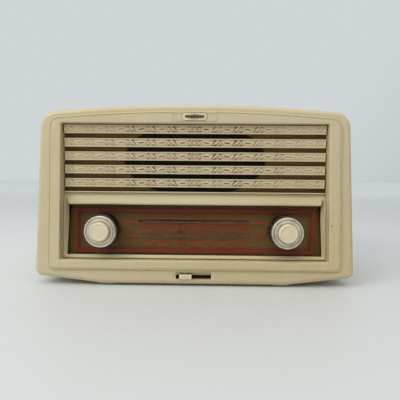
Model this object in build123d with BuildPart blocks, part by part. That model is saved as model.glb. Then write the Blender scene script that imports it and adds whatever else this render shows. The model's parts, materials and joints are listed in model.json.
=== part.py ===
from build123d import *
from math import asin, atan2, copysign, cos, radians, sin, tan
import os

os.makedirs("parts", exist_ok=True)

# ---------------------------------------------------------------------------
# Driving dimensions, in millimetres.
# +X is to the right of someone facing the set, +Y to the back, +Z up.
# The origin is the middle of the footprint, on the surface it stands on.
# Depths are counted backwards from the foot of the leaning front face.
# ---------------------------------------------------------------------------
FRONT_Y = -84.5            # where the foot of the front face lies
FACE_LEAN = 4.0            # the front face leans back, degrees
DIAL_LEAN = 9.3            # the dial leans back further, degrees

# cabinet
CABINET_DEPTH = 177.0
BASE_HALF_WIDTH = 194.5
SHOULDER_HALF_WIDTH = 189.6
CORNER_Z = 11.8            # the underside sweeps up to the bottom corners
SHOULDER_Z = 211.8
TOP_Z = 221.5
UNDERSIDE_Z = 2.3
UNDERSIDE_HALF = 112.0     # half the flat length of the underside
TOP_CORNER_R = 20.0
BOTTOM_CORNER_R = 9.0
FRONT_EDGE_R = 6.0
BACK_EDGE_R = 2.0
WALL = 4.5
LIP_DEPTH = 10.0           # moulded return lip round the front opening
LIP_WALL = 3.0

# front opening and the raised panel round it
OPENING_HALF = 162.5
OPENING_LOW = 31.9
OPENING_HIGH = 197.9
PANEL_HALF = 177.0
PANEL_LOW = 20.5
PANEL_TOP = 212.6
PANEL_SHOULDER = 204.3
PANEL_RISE = 2.4
PANEL_TOP_R = 12.0
PANEL_BOTTOM_R = 6.0
PANEL_EDGE_R = 1.1
PANEL_BEAD = 1.7           # width of the bead along the panel's edge
PANEL_GROOVE = 0.8         # width of the fine groove inside the bead
PANEL_GROOVE_DEPTH = 0.35
OPENING_CORNER_R = 1.4
OPENING_EDGE_R = 1.3

# badge plate and the moulded cartouche round it
BADGE_Z = 205.7
BADGE_LENGTH = 30.4
BADGE_HEIGHT = 9.2
BADGE_THICK = 1.5
BADGE_CORNER = 2.6
BADGE_POCKET = 1.0         # depth of the pocket it sits in
BADGE_GAP = 0.5            # clearance round it
BADGE_SEAT = 0.02          # the plate stands this far off the pocket's floor
CARTOUCHE_LENGTH = 56.0
CARTOUCHE_HEIGHT = 11.6
CARTOUCHE_LINE = 1.6
CARTOUCHE_RISE = 0.5

# louvres
BAR_COUNT = 5
BAR_PITCH = 16.43
BAR_TOP_Z = 191.1          # middle of the topmost bar
BAR_HEIGHT = 10.7
BAR_HALF = 160.3
BAR_DEPTH = 16.3           # front of the bars
BAR_THICK = 5.0
BAR_RECESS = 0.9
BAR_RIM = 1.2

# baffle, cloth and loudspeaker
CLOTH_DEPTH = 25.0
CLOTH_THICK = 0.8
BAFFLE_THICK = 4.5
SPEAKER_Z = 154.6
SPEAKER_HALF_X = 90.0
SPEAKER_HALF_Z = 47.0

# dial window
WINDOW_HALF = 158.3
WINDOW_LOW = 35.8
WINDOW_HIGH = 95.7
WINDOW_DEPTH = 13.5        # depth of the glass at the window's lower edge
LEDGE_Z = 114.6
GLASS_THICK = 2.5
BACKPLATE_GAP = 5.0
BACKPLATE_THICK = 1.2

# knobs and spindles
KNOB_X = 111.4
KNOB_Z = 67.2
KNOB_R = 20.4
RING_R = 18.8
CAP_R = 11.4
SPINDLE_R = 3.0
RUNNING_FIT = 0.08

# chassis
CHASSIS_FRONT = 44.0
CHASSIS_BACK = 150.0
CHASSIS_HALF = 160.0
CHASSIS_FOOT = 14.0
DECK_Z = 93.0
SHEET = 1.5

# tuning drive: a 180 degree turn of the drum carries the pointer its travel
DRIVE_DEPTH = 37.0
DRUM_R = 40.0
DRUM_X = 141.0
DRUM_Z = 138.0
SPOOL_R = 4.0
CORD_R = 0.4
LEFT_PULLEY = (-88.0, 68.5, 8.0)
RIGHT_PULLEY = (90.0, 81.5, 5.0)
POINTER_X = -17.8
POINTER_LOW = 50.0

# wave-change slot
SLOT_HALF = 21.5
SLOT_LOW = 9.3
SLOT_HIGH = 17.7
LEVER_X = -9.5
LEVER_WIDTH = 15.0

# back
BACK_COVER_DEPTH = 171.0
BACK_COVER_THICK = 3.0
SOCKET_X = -122.0
SOCKET_Z = 41.0
SOCKET_PITCH = 19.0

FOOT_X = 107.0
FOOT_DEPTHS = (13.0, 158.0)
FOOT_THICK = 1.0
FOOT_LENGTH = 24.0
FOOT_WIDTH = 11.0


# ---------------------------------------------------------------------------
# Planes. Each sketch plane faces the front, with its own x to the right and
# its own y upwards, so a positive extrusion comes forward.
# ---------------------------------------------------------------------------
def upright(depth):
    return Plane(origin=(0, FRONT_Y + depth, 0), x_dir=(1, 0, 0), z_dir=(0, -1, 0))


def leaning(depth, angle):
    normal = (0, -cos(radians(angle)), sin(radians(angle)))
    return Plane(origin=(0, FRONT_Y + depth, 0), x_dir=(1, 0, 0), z_dir=normal)


def face_plane(behind=0.0):
    """The leaning front face, or a plane that lies a little behind it."""
    return leaning(behind / cos(radians(FACE_LEAN)), FACE_LEAN)


def dial_plane(behind=0.0):
    """The front of the dial glass, or a plane that lies a little behind it."""
    return leaning(dial_depth(0, behind), DIAL_LEAN)


def face_y(z):
    """Sketch coordinate on the leaning face for a height above the floor."""
    return z / cos(radians(FACE_LEAN))


def dial_y(z):
    """Sketch coordinate on the leaning dial for a height above the floor."""
    return z / cos(radians(DIAL_LEAN))


def dial_depth(z, behind=0.0):
    """Depth at height z of a surface that lies a little behind the glass."""
    slope = tan(radians(DIAL_LEAN))
    return WINDOW_DEPTH + (z - WINDOW_LOW) * slope + behind / cos(radians(DIAL_LEAN))


def side_wall_x(z):
    """Half width of the shell's outside at a height above the floor."""
    rise = (z - CORNER_Z) / (SHOULDER_Z - CORNER_Z)
    return BASE_HALF_WIDTH + rise * (SHOULDER_HALF_WIDTH - BASE_HALF_WIDTH)


def level(z):
    return Plane.XY.offset(z)


def save(piece, name):
    piece.part.label = name
    export_step(piece.part, f"parts/{name}.step")


def rect_between(low_x, low_y, high_x, high_y, mode=Mode.ADD):
    """A sketch rectangle from its two corners, in the current plane."""
    with Locations(((low_x + high_x) / 2, (low_y + high_y) / 2)):
        Rectangle(high_x - low_x, high_y - low_y, mode=mode)


def box_between(low, high):
    """A block between two corners given as (x, depth, z)."""
    with BuildPart() as block:
        with BuildSketch(level(low[2])):
            rect_between(low[0], FRONT_Y + low[1], high[0], FRONT_Y + high[1])
        extrude(amount=high[2] - low[2])
    return block.part


# ---------------------------------------------------------------------------
# Cabinet: one bakelite moulding, open at the back
# ---------------------------------------------------------------------------
def cabinet_outline(inset):
    """Front view of the shell, in from its outer surface by the inset."""
    with BuildSketch() as outline:
        with BuildLine():
            Polyline(
                (-SHOULDER_HALF_WIDTH, SHOULDER_Z),
                (-BASE_HALF_WIDTH, CORNER_Z),
                (-UNDERSIDE_HALF, UNDERSIDE_Z),
                (UNDERSIDE_HALF, UNDERSIDE_Z),
                (BASE_HALF_WIDTH, CORNER_Z),
                (SHOULDER_HALF_WIDTH, SHOULDER_Z),
            )
            ThreePointArc(
                (SHOULDER_HALF_WIDTH, SHOULDER_Z), (0, TOP_Z), (-SHOULDER_HALF_WIDTH, SHOULDER_Z)
            )
        make_face()
        corners = outline.vertices().group_by(Axis.Y)
        fillet(corners[-1], radius=TOP_CORNER_R)
        wide = outline.vertices().filter_by(lambda v: abs(v.X) > BASE_HALF_WIDTH - 1)
        fillet(wide.group_by(Axis.Y)[0], radius=BOTTOM_CORNER_R)
        if inset > 0:
            offset(amount=-inset, kind=Kind.INTERSECTION, mode=Mode.REPLACE)
    return outline.sketch


def panel_outline(inset):
    """The raised panel round the opening, arched like the top of the shell."""
    with BuildSketch() as panel:
        with BuildLine():
            Polyline(
                (-PANEL_HALF, face_y(PANEL_SHOULDER)),
                (-PANEL_HALF, face_y(PANEL_LOW)),
                (PANEL_HALF, face_y(PANEL_LOW)),
                (PANEL_HALF, face_y(PANEL_SHOULDER)),
            )
            ThreePointArc(
                (PANEL_HALF, face_y(PANEL_SHOULDER)),
                (0, face_y(PANEL_TOP)),
                (-PANEL_HALF, face_y(PANEL_SHOULDER)),
            )
        make_face()
        fillet(panel.vertices().group_by(Axis.Y)[-1], radius=PANEL_TOP_R)
        fillet(panel.vertices().group_by(Axis.Y)[0], radius=PANEL_BOTTOM_R)
        if inset > 0:
            offset(amount=-inset, kind=Kind.INTERSECTION, mode=Mode.REPLACE)
    return panel.sketch


BACK_BOSSES = [(-180.0, 34.0), (180.0, 34.0), (-176.5, 186.0), (176.5, 186.0)]
BAFFLE_BOSSES = [(-171.0, 118.0), (171.0, 118.0), (-171.0, 192.0), (171.0, 192.0)]
CHASSIS_POSTS = [(-80.0, 60.0), (80.0, 60.0), (-80.0, 140.0), (80.0, 140.0)]
BOLT_R = 2.0
BOLT_HEAD_R = 4.0
BOLT_HEAD = 3.0
BOLT_SLACK = 0.4
BAFFLE_BOSS_R = 4.5
BACK_BOSS_R = 7.0
BACK_BOSS_LENGTH = 26.0
POST_R = 8.0
PILOT_R = 1.4              # screw holes in the baffle's bosses
PILOT_DEPTH = 6.0
BACK_PILOT_R = 1.6         # and in the back cover's
BACK_PILOT_DEPTH = 14.0
OVERSHOOT = 40.0           # blanks start this far in front and are cut to the lean
SCOOP_R = 8.2
SCOOP_DEPTH = 1.0
PANEL_FRONT = face_plane(-PANEL_RISE)
SLOT_Z = (SLOT_LOW + SLOT_HIGH) / 2

with BuildPart() as cavity:
    with BuildSketch(upright(CABINET_DEPTH + 1)):
        add(cabinet_outline(WALL))
    extrude(amount=CABINET_DEPTH + OVERSHOOT)
    split(bisect_by=face_plane(WALL), keep=Keep.BOTTOM)

# raised panel, with a softened edge
with BuildPart() as panel:
    with BuildSketch(face_plane(WALL / 2)):
        add(panel_outline(0))
    extrude(amount=WALL / 2 + PANEL_RISE)
    fillet(panel.faces().sort_by(Axis.Y)[0].edges(), radius=PANEL_EDGE_R)

# thumb scoops at the ends of the wave-change slot
with BuildPart() as scoops:
    for x in (-SLOT_HALF, SLOT_HALF):
        with Locations(face_plane(SCOOP_DEPTH - SCOOP_R) * Location((x, face_y(SLOT_Z), 0))):
            Sphere(SCOOP_R)

with BuildPart() as cabinet:
    with BuildSketch(upright(CABINET_DEPTH)):
        add(cabinet_outline(0))
    extrude(amount=CABINET_DEPTH + OVERSHOOT)
    split(bisect_by=face_plane(), keep=Keep.BOTTOM)
    fillet(cabinet.faces().sort_by(Axis.Y)[0].edges(), radius=FRONT_EDGE_R)
    fillet(cabinet.faces().sort_by(Axis.Y)[-1].outer_wire().edges(), radius=BACK_EDGE_R)
    add(panel.part)
    add(cavity.part, mode=Mode.SUBTRACT)
    # return lip behind the opening
    with BuildSketch(face_plane(WALL - 0.5)):
        rect_between(
            -OPENING_HALF - LIP_WALL,
            face_y(OPENING_LOW - LIP_WALL),
            OPENING_HALF + LIP_WALL,
            face_y(OPENING_HIGH + LIP_WALL),
        )
    extrude(amount=-(LIP_DEPTH - WALL + 0.5))
    # bosses for the baffle, the back cover and the chassis
    for x, z in BAFFLE_BOSSES:
        with BuildSketch(upright(CLOTH_DEPTH + CLOTH_THICK)):
            with Locations((x, z)):
                Circle(BAFFLE_BOSS_R)
        extrude(amount=CLOTH_DEPTH + CLOTH_THICK - z * tan(radians(FACE_LEAN)) - WALL / 2)
    for x, z in BACK_BOSSES:
        with BuildSketch(upright(BACK_COVER_DEPTH)):
            with Locations((x, z)):
                Circle(BACK_BOSS_R)
            near, far = sorted((x, copysign(side_wall_x(z) - WALL / 2, x)))
            rect_between(near, z - BACK_BOSS_R + 1, far, z + BACK_BOSS_R - 1)
        extrude(amount=BACK_BOSS_LENGTH)
    for x, depth in CHASSIS_POSTS:
        with BuildSketch(level(UNDERSIDE_Z + 1)):
            with Locations((x, FRONT_Y + depth)):
                Circle(POST_R)
        extrude(amount=CHASSIS_FOOT - UNDERSIDE_Z - 1)
    # pads that the felt feet are stuck under
    for depth in FOOT_DEPTHS:
        with BuildSketch(level(FOOT_THICK)):
            with Locations((-FOOT_X, FRONT_Y + depth), (FOOT_X, FRONT_Y + depth)):
                SlotOverall(FOOT_LENGTH + 2, FOOT_WIDTH + 2)
        extrude(amount=UNDERSIDE_Z - FOOT_THICK + WALL / 2)
    # the opening, with a softened front edge
    with BuildSketch(face_plane(-PANEL_RISE - 1)):
        rect_between(-OPENING_HALF, face_y(OPENING_LOW), OPENING_HALF, face_y(OPENING_HIGH))
        fillet(vertices(Select.LAST), radius=OPENING_CORNER_R)
    extrude(amount=-(LIP_DEPTH + PANEL_RISE + 3), mode=Mode.SUBTRACT)
    opening_rim = (
        cabinet.edges()
        .filter_by(lambda e: abs(face_plane().to_local_coords(e.center()).Z - PANEL_RISE) < 0.01)
        .filter_by(lambda e: abs(e.center().X) < OPENING_HALF + 0.1)
        .filter_by(lambda e: OPENING_LOW - 1 < e.center().Z < OPENING_HIGH + 1)
    )
    fillet(opening_rim, radius=OPENING_EDGE_R)
    # fine groove that leaves a bead along the panel's edge
    with BuildSketch(PANEL_FRONT):
        add(panel_outline(PANEL_BEAD))
        add(panel_outline(PANEL_BEAD + PANEL_GROOVE), mode=Mode.SUBTRACT)
    extrude(amount=-PANEL_GROOVE_DEPTH, mode=Mode.SUBTRACT)
    # moulded cartouche with a pocket for the badge
    with BuildSketch(PANEL_FRONT):
        with Locations((0, face_y(BADGE_Z))):
            SlotOverall(CARTOUCHE_LENGTH, CARTOUCHE_HEIGHT)
            SlotOverall(
                CARTOUCHE_LENGTH - 2 * CARTOUCHE_LINE,
                CARTOUCHE_HEIGHT - 2 * CARTOUCHE_LINE,
                mode=Mode.SUBTRACT,
            )
    extrude(amount=CARTOUCHE_RISE)
    with BuildSketch(face_plane(-PANEL_RISE - 2)):
        with Locations((0, face_y(BADGE_Z))):
            SlotOverall(BADGE_LENGTH + 2 * BADGE_GAP, BADGE_HEIGHT + 2 * BADGE_GAP)
    extrude(amount=-2 - BADGE_POCKET, mode=Mode.SUBTRACT)
    # wave-change slot in the apron
    with BuildSketch(face_plane(-1)):
        rect_between(-SLOT_HALF, face_y(SLOT_LOW), SLOT_HALF, face_y(SLOT_HIGH))
        fillet(vertices(Select.LAST), radius=0.8)
    extrude(amount=-(WALL + 3), mode=Mode.SUBTRACT)
    add(scoops.part, mode=Mode.SUBTRACT)
    # holes for chassis bolts, back screws and baffle screws
    for x, depth in CHASSIS_POSTS:
        with BuildSketch(level(0)):
            with Locations((x, FRONT_Y + depth)):
                Circle(BOLT_HEAD_R + BOLT_SLACK)
        extrude(amount=UNDERSIDE_Z + BOLT_HEAD + BOLT_SLACK, mode=Mode.SUBTRACT)
        with BuildSketch(level(0)):
            with Locations((x, FRONT_Y + depth)):
                Circle(BOLT_R + 0.2)
        extrude(amount=CHASSIS_FOOT + 5, mode=Mode.SUBTRACT)
    with BuildSketch(upright(BACK_COVER_DEPTH)):
        with Locations(*BACK_BOSSES):
            Circle(BACK_PILOT_R)
    extrude(amount=BACK_PILOT_DEPTH, mode=Mode.SUBTRACT)
    with BuildSketch(upright(CLOTH_DEPTH + CLOTH_THICK)):
        with Locations(*BAFFLE_BOSSES):
            Circle(PILOT_R)
    extrude(amount=PILOT_DEPTH, mode=Mode.SUBTRACT)
save(cabinet, "cabinet")

with BuildPart() as feet:
    for depth in FOOT_DEPTHS:
        with BuildSketch(level(0)):
            with Locations((-FOOT_X, FRONT_Y + depth), (FOOT_X, FRONT_Y + depth)):
                SlotOverall(FOOT_LENGTH, FOOT_WIDTH)
        extrude(amount=FOOT_THICK)
save(feet, "feet")

with BuildPart() as badge_plate:
    with BuildSketch(face_plane(-PANEL_RISE + BADGE_POCKET - BADGE_SEAT)):
        with Locations((0, face_y(BADGE_Z))):
            Rectangle(BADGE_LENGTH, BADGE_HEIGHT)
        chamfer(vertices(Select.LAST), length=BADGE_CORNER)
    extrude(amount=BADGE_THICK)
    chamfer(badge_plate.faces().sort_by(Axis.Y)[0].edges(), length=0.4)
save(badge_plate, "badge_plate")


# ---------------------------------------------------------------------------
# Louvres: five moulded bars, each held by three studs through the cloth
# ---------------------------------------------------------------------------
STUD_X = 130.0
STUD_R = 2.5


def louvre_bar(number):
    middle = BAR_TOP_Z - BAR_PITCH * (number - 1)
    low = middle - BAR_HEIGHT / 2
    high = middle + BAR_HEIGHT / 2
    front = FRONT_Y + BAR_DEPTH
    with BuildPart() as bar:
        with BuildSketch(Plane.YZ.offset(-BAR_HALF)):
            with BuildLine():
                Polyline(
                    (front, low + 0.5),
                    (front, low + BAR_RIM),
                    (front + BAR_RECESS, low + BAR_RIM + 0.6),
                    (front + BAR_RECESS, high - BAR_RIM - 0.6),
                    (front, high - BAR_RIM),
                    (front, high - 0.5),
                    (front + 0.6, high),
                    (front + BAR_THICK, high - 0.8),
                    (front + BAR_THICK, low + 0.8),
                    (front + 0.6, low),
                    close=True,
                )
            make_face()
        extrude(amount=2 * BAR_HALF)
        with BuildSketch(upright(CLOTH_DEPTH)):
            with Locations((-STUD_X, middle), (0, middle), (STUD_X, middle)):
                Circle(STUD_R)
        extrude(amount=CLOTH_DEPTH - BAR_DEPTH - BAR_THICK + 1)
    return bar


for number in range(1, BAR_COUNT + 1):
    save(louvre_bar(number), f"louvre_bar_{number}")


# ---------------------------------------------------------------------------
# Baffle, cloth and loudspeaker
# ---------------------------------------------------------------------------
BAFFLE_LOW = 112.5
BAFFLE_HIGH = 206.0
BAFFLE_HALF = 175.3
CLOTH_HALF = 164.5
BAFFLE_HOLE_R = 1.6
BAFFLE_BACK = CLOTH_DEPTH + CLOTH_THICK + BAFFLE_THICK

with BuildPart() as speaker_cloth:
    with BuildSketch(upright(CLOTH_DEPTH + CLOTH_THICK)):
        rect_between(-CLOTH_HALF, BAFFLE_LOW + 0.5, CLOTH_HALF, BAFFLE_HIGH - 0.5)
    extrude(amount=CLOTH_THICK)
save(speaker_cloth, "speaker_cloth")

with BuildPart() as baffle_board:
    with BuildSketch(upright(BAFFLE_BACK)):
        rect_between(-BAFFLE_HALF, BAFFLE_LOW, BAFFLE_HALF, BAFFLE_HIGH)
        with Locations((0, SPEAKER_Z)):
            Ellipse(SPEAKER_HALF_X - 5, SPEAKER_HALF_Z - 5, mode=Mode.SUBTRACT)
        with Locations(*BAFFLE_BOSSES):
            Circle(BAFFLE_HOLE_R, mode=Mode.SUBTRACT)
    extrude(amount=BAFFLE_THICK)
save(baffle_board, "baffle_board")


def screws(places, head_depth, shank, shank_r, head_r, head):
    """Round-headed screws driven forwards; the head's seat is at head_depth."""
    with BuildPart() as group:
        with BuildSketch(upright(head_depth)):
            with Locations(*places):
                Circle(shank_r)
        extrude(amount=shank)
        with BuildSketch(upright(head_depth + head)):
            with Locations(*places):
                Circle(head_r)
        extrude(amount=head)
        back_y = FRONT_Y + head_depth + head
        backs = group.faces().filter_by(lambda f: abs(f.center().Y - back_y) < 0.01)
        fillet(backs.edges(), radius=head * 0.6)
        with BuildSketch(upright(head_depth + head)):
            with Locations(*places):
                Rectangle(head_r * 2.2, 0.8)
        extrude(amount=head * 0.45, mode=Mode.SUBTRACT)
    return group


baffle_screws = screws(
    BAFFLE_BOSSES, head_depth=BAFFLE_BACK, shank=BAFFLE_THICK + 5, shank_r=1.3, head_r=3.4, head=1.8
)
save(baffle_screws, "baffle_screws")

FLANGE = 2.0
BASKET_END = 64.0
BASKET_R = 29.0
MAGNET_R = 24.0
SKIN = 1.6


def oval_loft(front_depth, front_x, front_z, back_depth, back_r):
    with BuildPart() as body:
        with BuildSketch(upright(front_depth)):
            with Locations((0, SPEAKER_Z)):
                Ellipse(front_x, front_z)
        with BuildSketch(upright(back_depth)):
            with Locations((0, SPEAKER_Z)):
                Ellipse(back_r, back_r - 0.01)
        loft()
    return body.part


with BuildPart() as speaker_frame:
    with BuildSketch(upright(BAFFLE_BACK + FLANGE)):
        with Locations((0, SPEAKER_Z)):
            Ellipse(SPEAKER_HALF_X + 5, SPEAKER_HALF_Z + 5)
    extrude(amount=FLANGE)
    add(oval_loft(BAFFLE_BACK + FLANGE, SPEAKER_HALF_X - 3, SPEAKER_HALF_Z - 3, BASKET_END, BASKET_R))
    inner = oval_loft(
        BAFFLE_BACK, SPEAKER_HALF_X - 3, SPEAKER_HALF_Z - 3, BASKET_END - SKIN, BASKET_R - SKIN
    )
    add(inner, mode=Mode.SUBTRACT)
    # windows between the spokes of the basket, cut from behind
    with BuildSketch(upright(BASKET_END + 1)):
        with Locations((-46, SPEAKER_Z), (46, SPEAKER_Z)):
            Ellipse(22, 14)
        with Locations((0, SPEAKER_Z - 34), (0, SPEAKER_Z + 34)):
            Ellipse(26, 4.5)
    extrude(amount=BASKET_END - BAFFLE_BACK - FLANGE - 2, mode=Mode.SUBTRACT)
    with BuildSketch(upright(BASKET_END)):
        with Locations((0, SPEAKER_Z)):
            Circle(13)
    extrude(amount=SKIN + 1, mode=Mode.SUBTRACT)
save(speaker_frame, "speaker_frame")

CONE_END = 57.0
CONE_FRONT = BAFFLE_BACK + 0.2
CONE_HALF_X = SPEAKER_HALF_X - 7
CONE_HALF_Z = SPEAKER_HALF_Z - 7
CONE_NECK_R = 12.0
PAPER = 0.9
COIL_R = 11.0
DUST_CAP_R = 15.0

with BuildPart() as dust_cap:
    with Locations((0, FRONT_Y + CONE_END + 4, SPEAKER_Z)):
        Sphere(DUST_CAP_R)
    with Locations((0, FRONT_Y + CONE_END + 4, SPEAKER_Z)):
        Sphere(DUST_CAP_R - 1, mode=Mode.SUBTRACT)
    split(bisect_by=upright(CONE_END - 2.5), keep=Keep.TOP)

with BuildPart() as speaker_cone:
    add(oval_loft(CONE_FRONT, CONE_HALF_X, CONE_HALF_Z, CONE_END, CONE_NECK_R))
    hollow = oval_loft(
        CONE_FRONT, CONE_HALF_X - 2 * PAPER, CONE_HALF_Z - PAPER, CONE_END - PAPER, CONE_NECK_R - 1.5
    )
    add(hollow, mode=Mode.SUBTRACT)
    # voice coil former behind and dust cap in front
    with BuildSketch(upright(BASKET_END - 0.5)):
        with Locations((0, SPEAKER_Z)):
            Circle(COIL_R)
    extrude(amount=BASKET_END - CONE_END)
    add(dust_cap.part)
save(speaker_cone, "speaker_cone")

with BuildPart() as speaker_magnet:
    with BuildSketch(upright(BASKET_END)):
        with Locations((0, SPEAKER_Z)):
            Circle(MAGNET_R)
    extrude(amount=-22)
    fillet(speaker_magnet.faces().sort_by(Axis.Y)[-1].edges(), radius=3)
save(speaker_magnet, "speaker_magnet")


# ---------------------------------------------------------------------------
# Dial: bezel insert, glass, printed backplate and the pieces that hold them
# ---------------------------------------------------------------------------
BEZEL_HALF = OPENING_HALF - 0.5
BEZEL_LOW = OPENING_LOW + 0.5
BEZEL_FRONT = 7.5          # how far the bezel's rim lies behind the face
GLASS_HALF = WINDOW_HALF + 1.8
GLASS_LOW = WINDOW_LOW - 1.8
GLASS_HIGH = WINDOW_HIGH + 3.2
SPINDLE_HOLE_R = 6.0
KNOB_PLACES = [(-KNOB_X, dial_y(KNOB_Z)), (KNOB_X, dial_y(KNOB_Z))]
BEZEL_RIM = 0.9
BEZEL_CORNER_R = 4.0
WINDOW_CORNER_R = 0.6
LEDGE_LIP = 1.2            # height of the lip along the top of the ledge
LEDGE_LIP_PROUD = 0.8
LEDGE_EDGE = LEDGE_Z - LEDGE_LIP
LEDGE_SET_BACK = 3.2       # the ledge leans back this much between its nose and the lip
NOSE_LOW = 98.2            # underside of the nose that overhangs the dial
NOSE_FULL = 101.0          # height where the nose is furthest forward
NOSE_R = 1.8
NOSE_BACK = 16.5
NOSE_ENDS = [               # (half length, height) down each slanting end of the nose
    (162.0, 113.4),
    (158.5, 107.0),
    (155.0, 97.0),
]
BEZEL_FLANGE = 2.5


def behind_face(behind, z):
    """(y, z) of a point at height z, some way behind the leaning front face."""
    lean = radians(FACE_LEAN)
    return (FRONT_Y + z * tan(lean) + behind / cos(lean), z)


# nose along the foot of the ledge, with its ends cut to meet the sloping sides
with BuildPart() as ledge_nose:
    with BuildSketch(Plane.YZ.offset(-BEZEL_HALF)):
        with BuildLine():
            Polyline(
                behind_face(BEZEL_FRONT + LEDGE_SET_BACK, LEDGE_EDGE),
                behind_face(BEZEL_FRONT, NOSE_FULL),
                behind_face(BEZEL_FRONT, NOSE_LOW),
                behind_face(NOSE_BACK, NOSE_LOW),
                close=True,
            )
        nose = make_face()
        fillet(nose.vertices().sort_by(Axis.X)[0:2].sort_by(Axis.Y)[0], radius=NOSE_R)
    extrude(amount=2 * BEZEL_HALF)
    with BuildSketch(face_plane(BEZEL_FRONT - 1)):
        with BuildLine():
            right = [(x, face_y(z)) for x, z in NOSE_ENDS]
            left = [(-x, face_y(z)) for x, z in reversed(NOSE_ENDS)]
            Polyline(*right, *left, close=True)
        make_face()
    extrude(amount=-30, mode=Mode.INTERSECT)

with BuildPart() as bezel_pocket:
    with BuildSketch(face_plane(BEZEL_FRONT)):
        rect_between(
            -BEZEL_HALF + BEZEL_RIM,
            face_y(BEZEL_LOW + BEZEL_RIM),
            BEZEL_HALF - BEZEL_RIM,
            face_y(LEDGE_EDGE - BEZEL_RIM - 1),
        )
        fillet(vertices(Select.LAST), radius=BEZEL_CORNER_R)
    with BuildSketch(dial_plane()):
        rect_between(-WINDOW_HALF, dial_y(WINDOW_LOW), WINDOW_HALF, dial_y(WINDOW_HIGH))
        fillet(vertices(Select.LAST), radius=WINDOW_CORNER_R)
    loft()

with BuildPart() as dial_bezel:
    with BuildSketch(face_plane(BEZEL_FRONT)):
        rect_between(-BEZEL_HALF, face_y(BEZEL_LOW), BEZEL_HALF, face_y(LEDGE_Z))
    extrude(amount=-20)
    split(bisect_by=dial_plane(), keep=Keep.TOP)
    split(bisect_by=face_plane(LIP_DEPTH + 5), keep=Keep.TOP)
    add(bezel_pocket.part, mode=Mode.SUBTRACT)
    # window through the web that is left
    with BuildSketch(dial_plane(1)):
        rect_between(-WINDOW_HALF, dial_y(WINDOW_LOW), WINDOW_HALF, dial_y(WINDOW_HIGH))
    extrude(amount=12, mode=Mode.SUBTRACT)
    # the ledge leans back from its nose up to a thin lip
    with BuildSketch(Plane.YZ.offset(-BEZEL_HALF - 1)):
        with BuildLine():
            Polyline(
                behind_face(BEZEL_FRONT - 1, LEDGE_EDGE),
                behind_face(BEZEL_FRONT + LEDGE_SET_BACK, LEDGE_EDGE),
                behind_face(BEZEL_FRONT, NOSE_FULL),
                behind_face(BEZEL_FRONT - 1, NOSE_FULL),
                close=True,
            )
        make_face()
    extrude(amount=2 * BEZEL_HALF + 2, mode=Mode.SUBTRACT)
    add(ledge_nose.part)
    with BuildSketch(face_plane(BEZEL_FRONT)):
        rect_between(-BAR_HALF, face_y(LEDGE_EDGE), BAR_HALF, face_y(LEDGE_Z))
    extrude(amount=LEDGE_LIP_PROUD)
    # flange that bears on the cabinet's return lip
    with BuildSketch(face_plane(LIP_DEPTH)):
        rect_between(-OPENING_HALF - 4, face_y(OPENING_LOW - 4), OPENING_HALF + 4, face_y(LEDGE_Z))
        rect_between(
            -GLASS_HALF - 0.5,
            face_y(GLASS_LOW - 0.4),
            GLASS_HALF + 0.5,
            face_y(LEDGE_Z - 1.2),
            mode=Mode.SUBTRACT,
        )
    extrude(amount=-BEZEL_FLANGE)
save(dial_bezel, "dial_bezel")

with BuildPart() as dial_glass:
    with BuildSketch(dial_plane()):
        rect_between(-GLASS_HALF, dial_y(GLASS_LOW), GLASS_HALF, dial_y(GLASS_HIGH))
        with Locations(*KNOB_PLACES):
            Circle(SPINDLE_HOLE_R, mode=Mode.SUBTRACT)
    extrude(amount=-GLASS_THICK)
save(dial_glass, "dial_glass")

RUN_Z = LEFT_PULLEY[1] + LEFT_PULLEY[2]    # height of the run that carries the pointer
BACKPLATE_BEHIND = GLASS_THICK + BACKPLATE_GAP
BACKPLATE_LOW = 31.0
BACKPLATE_HIGH = GLASS_HIGH
STANDOFFS = [(-152.0, 40.0), (152.0, 40.0), (-152.0, 88.0), (152.0, 88.0)]
SLOT_REACH = 68.0

with BuildPart() as dial_backplate:
    with BuildSketch(dial_plane(BACKPLATE_BEHIND)):
        rect_between(-GLASS_HALF, dial_y(BACKPLATE_LOW), GLASS_HALF, dial_y(BACKPLATE_HIGH))
        with Locations(*KNOB_PLACES):
            Circle(SPINDLE_HOLE_R, mode=Mode.SUBTRACT)
        with Locations((0, dial_y(RUN_Z))):
            SlotOverall(2 * SLOT_REACH + 8, 3.2, mode=Mode.SUBTRACT)
    extrude(amount=-BACKPLATE_THICK)
save(dial_backplate, "dial_backplate")

with BuildPart() as glass_buffers:
    with BuildSketch(dial_plane(GLASS_THICK)):
        rect_between(-150, dial_y(GLASS_LOW), 150, dial_y(GLASS_LOW + 1.6))
        rect_between(-150, dial_y(GLASS_HIGH - 1.8), 150, dial_y(GLASS_HIGH))
    extrude(amount=-BACKPLATE_GAP)
save(glass_buffers, "glass_buffers")

with BuildPart() as dial_standoffs:
    with BuildSketch(upright(CHASSIS_FRONT)):
        with Locations(*STANDOFFS):
            Circle(4)
    extrude(amount=30)
    split(bisect_by=dial_plane(BACKPLATE_BEHIND + BACKPLATE_THICK), keep=Keep.BOTTOM)
save(dial_standoffs, "dial_standoffs")


# ---------------------------------------------------------------------------
# Chassis and what stands on it
# ---------------------------------------------------------------------------
VALVES = {"rectifier": -78.0, "output": -44.0, "audio": -10.0, "amplifier": 56.0, "mixer": 122.0}
VALVE_ROW = 118.0
CAN_PLACES = (24.0, 88.0)
BUSH_R = 5.0
CHASSIS_HEM = 11.0         # the foot of the front and back plates is turned in
TAB_HALF = 9.0
COLLAR_R = 7.0
VALVE_HOLE_R = 9.0

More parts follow.
